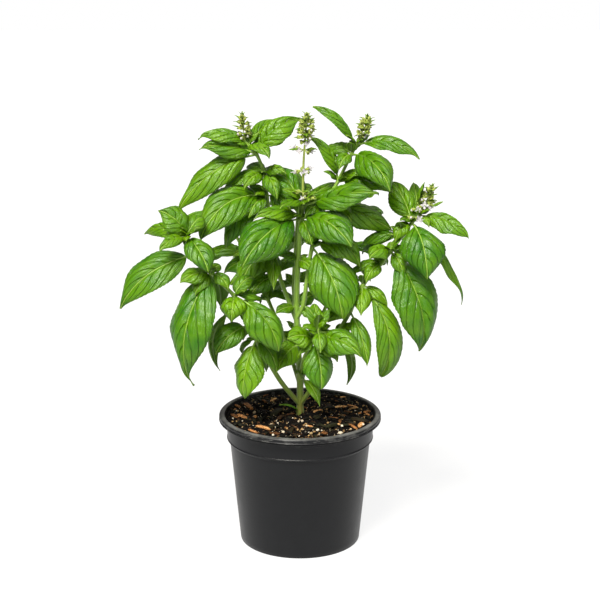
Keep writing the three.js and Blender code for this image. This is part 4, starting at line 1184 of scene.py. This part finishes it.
# Flower spikes: a thin square axis with whorls of six stalked calyces and pointed bracts, each
# whorl turned a quarter from the one below and packed closer towards the tip. Olive green flushed
# with brown; the open whorls hold small white two-lipped flowers with long stamens.
# Each row: node name, the stem below, route above the datum, whorls as [share, reach, open flowers].
SPIKES = [
    ["centre_spike", "main_stem", [[3, 0, 232], [4, 0, 250], [6, 0, 278]],
        [[0.08, 8, 0], [0.3, 11, 3], [0.64, 13, 4], [0.74, 7, 1], [0.785, 9, 0], [0.82, 10, 0],
         [0.855, 10.5, 0], [0.89, 10, 0], [0.925, 9, 0], [0.955, 7, 0], [0.985, 5, 0]]],
    ["left_spike", "left_upper_stem", [[-50, 18, 261], [-52, 18, 275]],
        [[0.26, 7, 0], [0.44, 9, 0], [0.6, 9, 0], [0.74, 8, 0], [0.86, 6.5, 0], [0.96, 4.5, 0]]],
    ["right_spike", "right_upper_stem", [[57, 6, 264], [60, 6, 275]],
        [[0.2, 6, 0], [0.42, 9.5, 0], [0.58, 10, 0], [0.73, 8.5, 0], [0.86, 6.5, 0], [0.96, 4.5, 0]]],
    ["far_spike", "right_lower_stem", [[112, -2, 199], [118, -2, 214]],
        [[0.29, 9, 1], [0.46, 10, 2], [0.6, 10, 0], [0.74, 9, 0], [0.87, 7.5, 0], [0.97, 5, 0]]],
]
# More clusters beside a spike's axis: [place above the datum, reach, open flowers].
SIDE_CLUSTERS = {
    "centre_spike": [[[8, -10, 207], 9, 1], [[1, -8, 212], 8, 0]],
    "far_spike": [[[102, -8, 189], 9, 1], [[104, -6, 196], 8, 1]],
}
CALYX_COLUMNS = 16
CALYCES_PER_WHORL = 6
LONGEST_CALYX = 4.4
# The corolla against its calyx.
COROLLA_SIZE = 1.15
STALK_RADIUS = 0.4
STAMEN_RADIUS = 0.14
ANTHER_RADIUS = 0.4
# The stamens of a flower fan out by these amounts.
STAMEN_FANS = (-0.45, -0.15, 0.15, 0.45)
STAMEN_RINGS = 7
BRACT_TONE = 0.9
AXIS_RADIUS = 1.15
AXIS_TAPER = 0.45
AXIS_RINGS = 40
AXIS_SIDES = 12
# The whorls close up towards the tip over this length. A share from 0 to 1 says how closed one is:
# above the first it has four bracts for two, above the second its calyces are buds, and under the
# third some calyces show a petal bud, with this chance.
CLOSING_LENGTH = 10
CROWDED = 0.4
IN_BUD = 0.6
WIDE_OPEN = 0.3
PETAL_BUD_CHANCE = 0.35


def bell(stations, lobes, lobe_reach, rows_lobed):
    """Rings of a cup along +Z through (radius, height), lobed rows raised by reach cos^2(lobes a / 2)."""
    a = np.linspace(0, 2 * np.pi, CALYX_COLUMNS, endpoint=False)[None]
    r, z = np.array(stations, float).T[:, :, None]
    lobe = np.cos(lobes * a / 2) ** 2 * np.isin(np.arange(len(stations)), rows_lobed)[:, None]
    spread = r * (1 + 0.25 * lobe_reach * lobe)
    return np.stack([spread * np.cos(a), spread * np.sin(a), z + lobe_reach * lobe], -1)


def aimed(rings, foot, aim, size, spin):
    """Rings turned so that +Z points along aim, spun about it, scaled, and set at foot."""
    z = unit(np.asarray(aim, float))
    x = unit(np.cross([0.13, 0.07, 1.0], z))
    y = np.cross(z, x)
    x, y = x * np.cos(spin) + y * np.sin(spin), y * np.cos(spin) - x * np.sin(spin)
    return foot + size * (rings @ np.stack([x, y, z]))


# Each cup by its radius and height, as shares of its length, from the foot out and back down inside.
calyx_outside = [[0.06, 0], [0.2, 0.08], [0.31, 0.3], [0.33, 0.55], [0.38, 0.74]]
calyx_inside = [[0.36, 0.76], [0.27, 0.55], [0.12, 0.25]]
calyx_rings = bell(calyx_outside + calyx_inside, lobes=5, lobe_reach=0.3, rows_lobed=[4, 5])
bud_outside = [[0.06, 0], [0.24, 0.1], [0.34, 0.35], [0.33, 0.6], [0.22, 0.85], [0.05, 1.0]]
bud_rings = bell(bud_outside, lobes=5, lobe_reach=0.05, rows_lobed=[3, 4])
corolla_outside = [[0.05, 0.3], [0.14, 0.45], [0.2, 0.8], [0.42, 0.98], [0.66, 1.02]]
corolla_inside = [[0.66, 0.99], [0.4, 0.96], [0.12, 0.9]]
corolla_rings = bell(corolla_outside + corolla_inside, lobes=4, lobe_reach=0.22, rows_lobed=[4, 5])
# The corolla's rim reaches this share of its radius at its four lobes, and this share between them.
LOBE_REACH = 1.1
LOBE_NOTCH = 0.5
petal_angle = np.linspace(0, 2 * np.pi, CALYX_COLUMNS, endpoint=False)
corolla_rings[4:7, :, :2] *= (LOBE_NOTCH + (LOBE_REACH - LOBE_NOTCH) * np.cos(2 * petal_angle) ** 2)[:, None]

# Calyces are downy, so they are matt with a soft edge: yellow green flushed with brown as they ripen.
calyx_skin, tree = new_material("basil_calyx_downy")
place = add_node(tree, "TexCoord").outputs["Object"]
ripe = add_node(tree, "Attribute", attribute_name="tone").outputs["Fac"]
down = add_node(tree, "TexNoise", {"Vector": place, "Scale": 900.0, "Detail": 4.0}).outputs[0]
flush = add_node(tree, "Math", {0: ripe, 1: down}, operation="MULTIPLY").outputs[0]
flush = add_node(
    tree, "MapRange", {"Value": flush, "From Min": 0.32, "From Max": 0.74, "To Max": 0.7}
).outputs[0]
calyx_green = add_node(
    tree, "Mix", {0: down, 6: linear("#6b8220"), 7: linear("#a7b34e")}, data_type="RGBA"
).outputs[2]
calyx_colour = add_node(
    tree, "Mix", {0: flush, 6: calyx_green, 7: linear("#54392b")}, data_type="RGBA"
).outputs[2]
calyx_bump = add_node(tree, "Bump", {"Height": down, "Strength": 0.6, "Distance": 0.0003})
calyx_face = add_node(
    tree,
    "BsdfPrincipled",
    {
        "Base Color": calyx_colour,
        "Roughness": 0.62,
        "Normal": calyx_bump.outputs[0],
        "Sheen Weight": 0.15,
        "Sheen Roughness": 0.5,
    },
)
show(tree, calyx_face.outputs[0])

# Petals are thin and silky: off-white, and light shines through them.
petal, tree = new_material("basil_petal_white")
place = add_node(tree, "TexCoord").outputs["Object"]
silk = add_node(tree, "TexNoise", {"Vector": place, "Scale": 1200.0, "Detail": 3.0}).outputs[0]
petal_colour = add_node(
    tree, "Mix", {0: silk, 6: linear("#cfcacc"), 7: linear("#f2eff1")}, data_type="RGBA"
).outputs[2]
petal_face = add_node(tree, "BsdfPrincipled", {"Base Color": petal_colour, "Roughness": 0.5})
petal_lit = add_node(tree, "BsdfTranslucent", {"Color": petal_colour})
petal_mix = add_node(tree, "MixShader", {0: 0.4, 1: petal_face.outputs[0], 2: petal_lit.outputs[0]})
show(tree, petal_mix.outputs[0])

rng = np.random.default_rng(8)
for name, stem_name, rest, whorls in SPIKES:
    nodes = next(row[3] for row in STEMS if row[0] == stem_name)
    start = smooth_curve(stem_route(nodes), np.array([1.0]))
    route = np.concatenate([start, [above_datum(place) for place in rest]])
    share = np.linspace(0, 1, AXIS_RINGS)
    axis = rod(smooth_curve(route, share), AXIS_RADIUS - AXIS_TAPER * share, AXIS_SIDES, SQUARENESS)
    skins = [capped_rings(axis)]
    tones = [np.full(len(skins[0][0]), 0.2)]
    bracts, petals = [], []
    clusters = [(smooth_curve(route, np.array([at]))[0], reach, flowers) for at, reach, flowers in whorls]
    for place, reach, flowers in SIDE_CLUSTERS.get(name, []):
        clusters.append((above_datum(place), reach, flowers))
    for index, (centre, reach, flowers) in enumerate(clusters):
        quarter = (index % 2) * np.pi / 2
        closing = np.exp(-np.linalg.norm(centre - route[-1]) / CLOSING_LENGTH)
        in_flower = rng.choice(CALYCES_PER_WHORL, flowers, replace=False)
        for side in range(4 if closing > CROWDED else 2):
            facing = quarter + (side // 2) * np.pi / 2 + side * np.pi + rng.uniform(-0.3, 0.3)
            lean = np.radians(-4 + 68 * closing + rng.uniform(-10, 14))
            out = heading_of(facing, lean)
            tip = centre + out * (0.85 * reach + 2.5) * rng.uniform(0.8, 1.15)
            bract_width = 0.36 * reach + 0.8
            bracts.append(blade(centre, tip, arch=1.0, turn=0, width=bract_width, share=0.1, rng=rng))
        for seat in range(CALYCES_PER_WHORL):
            spread = (seat // 3) * np.pi + (seat % 3 - 1) * 0.9
            angle = quarter + spread + rng.uniform(-0.25, 0.25)
            aim = heading_of(angle, np.radians(-6 + 72 * closing + rng.uniform(-16, 16)))
            size = min(LONGEST_CALYX, 0.46 * reach) * rng.uniform(0.8, 1.15) * (1 + 0.35 * closing)
            foot = centre + aim * 0.3 * reach * rng.uniform(0.7, 1.1)
            spin = rng.uniform(0, 6)
            stalk = np.linspace(centre, foot + 0.2 * aim, 3)
            skins.append(capped_rings(rod(stalk, np.full(3, STALK_RADIUS), 8)))
            tones.append(np.full(len(skins[-1][0]), 0.4))
            cup = bud_rings if closing > IN_BUD else calyx_rings
            skin_points, skin_faces = capped_rings(aimed(cup, foot, aim, size, spin))
            skins.append((skin_points, skin_faces))
            from_foot = np.linalg.norm(skin_points - foot, axis=1) / size
            tones.append(np.clip(from_foot + rng.uniform(-0.35, 0.3), 0, 1))
            if seat in in_flower:
                petals.append(capped_rings(aimed(corolla_rings, foot, aim, COROLLA_SIZE * size, spin)))
                for fan in STAMEN_FANS:
                    sweep = unit(aim + fan * np.cross(aim, [0, 0, 1]) + [0, 0, -0.25])
                    t = np.linspace(0, 1, STAMEN_RINGS)[:, None]
                    rise = 0.3 * t * t * np.array([0, 0, 1.0])
                    hair = foot + size * (0.7 * aim + t * 1.5 * sweep + rise)
                    petals.append(capped_rings(rod(hair, np.full(STAMEN_RINGS, STAMEN_RADIUS), 6)))
                    petals.append(capped_rings(pebble(5, 6) * ANTHER_RADIUS + hair[-1]))
            elif closing < WIDE_OPEN and rng.uniform() < PETAL_BUD_CHANCE:
                petal_bud = pebble(BALL_ROWS, BALL_COLUMNS) * [1.1, 1.0, 1.2]
                petals.append(capped_rings(petal_bud + foot + 0.85 * size * aim))
    make_piece(name + "_calyces", skins, [calyx_skin], name, tone=np.concatenate(tones))
    blade_piece(name + "_bracts", bracts, [BRACT_TONE] * len(bracts), name)
    if petals:
        make_piece(name + "_petals", petals, [petal], name)
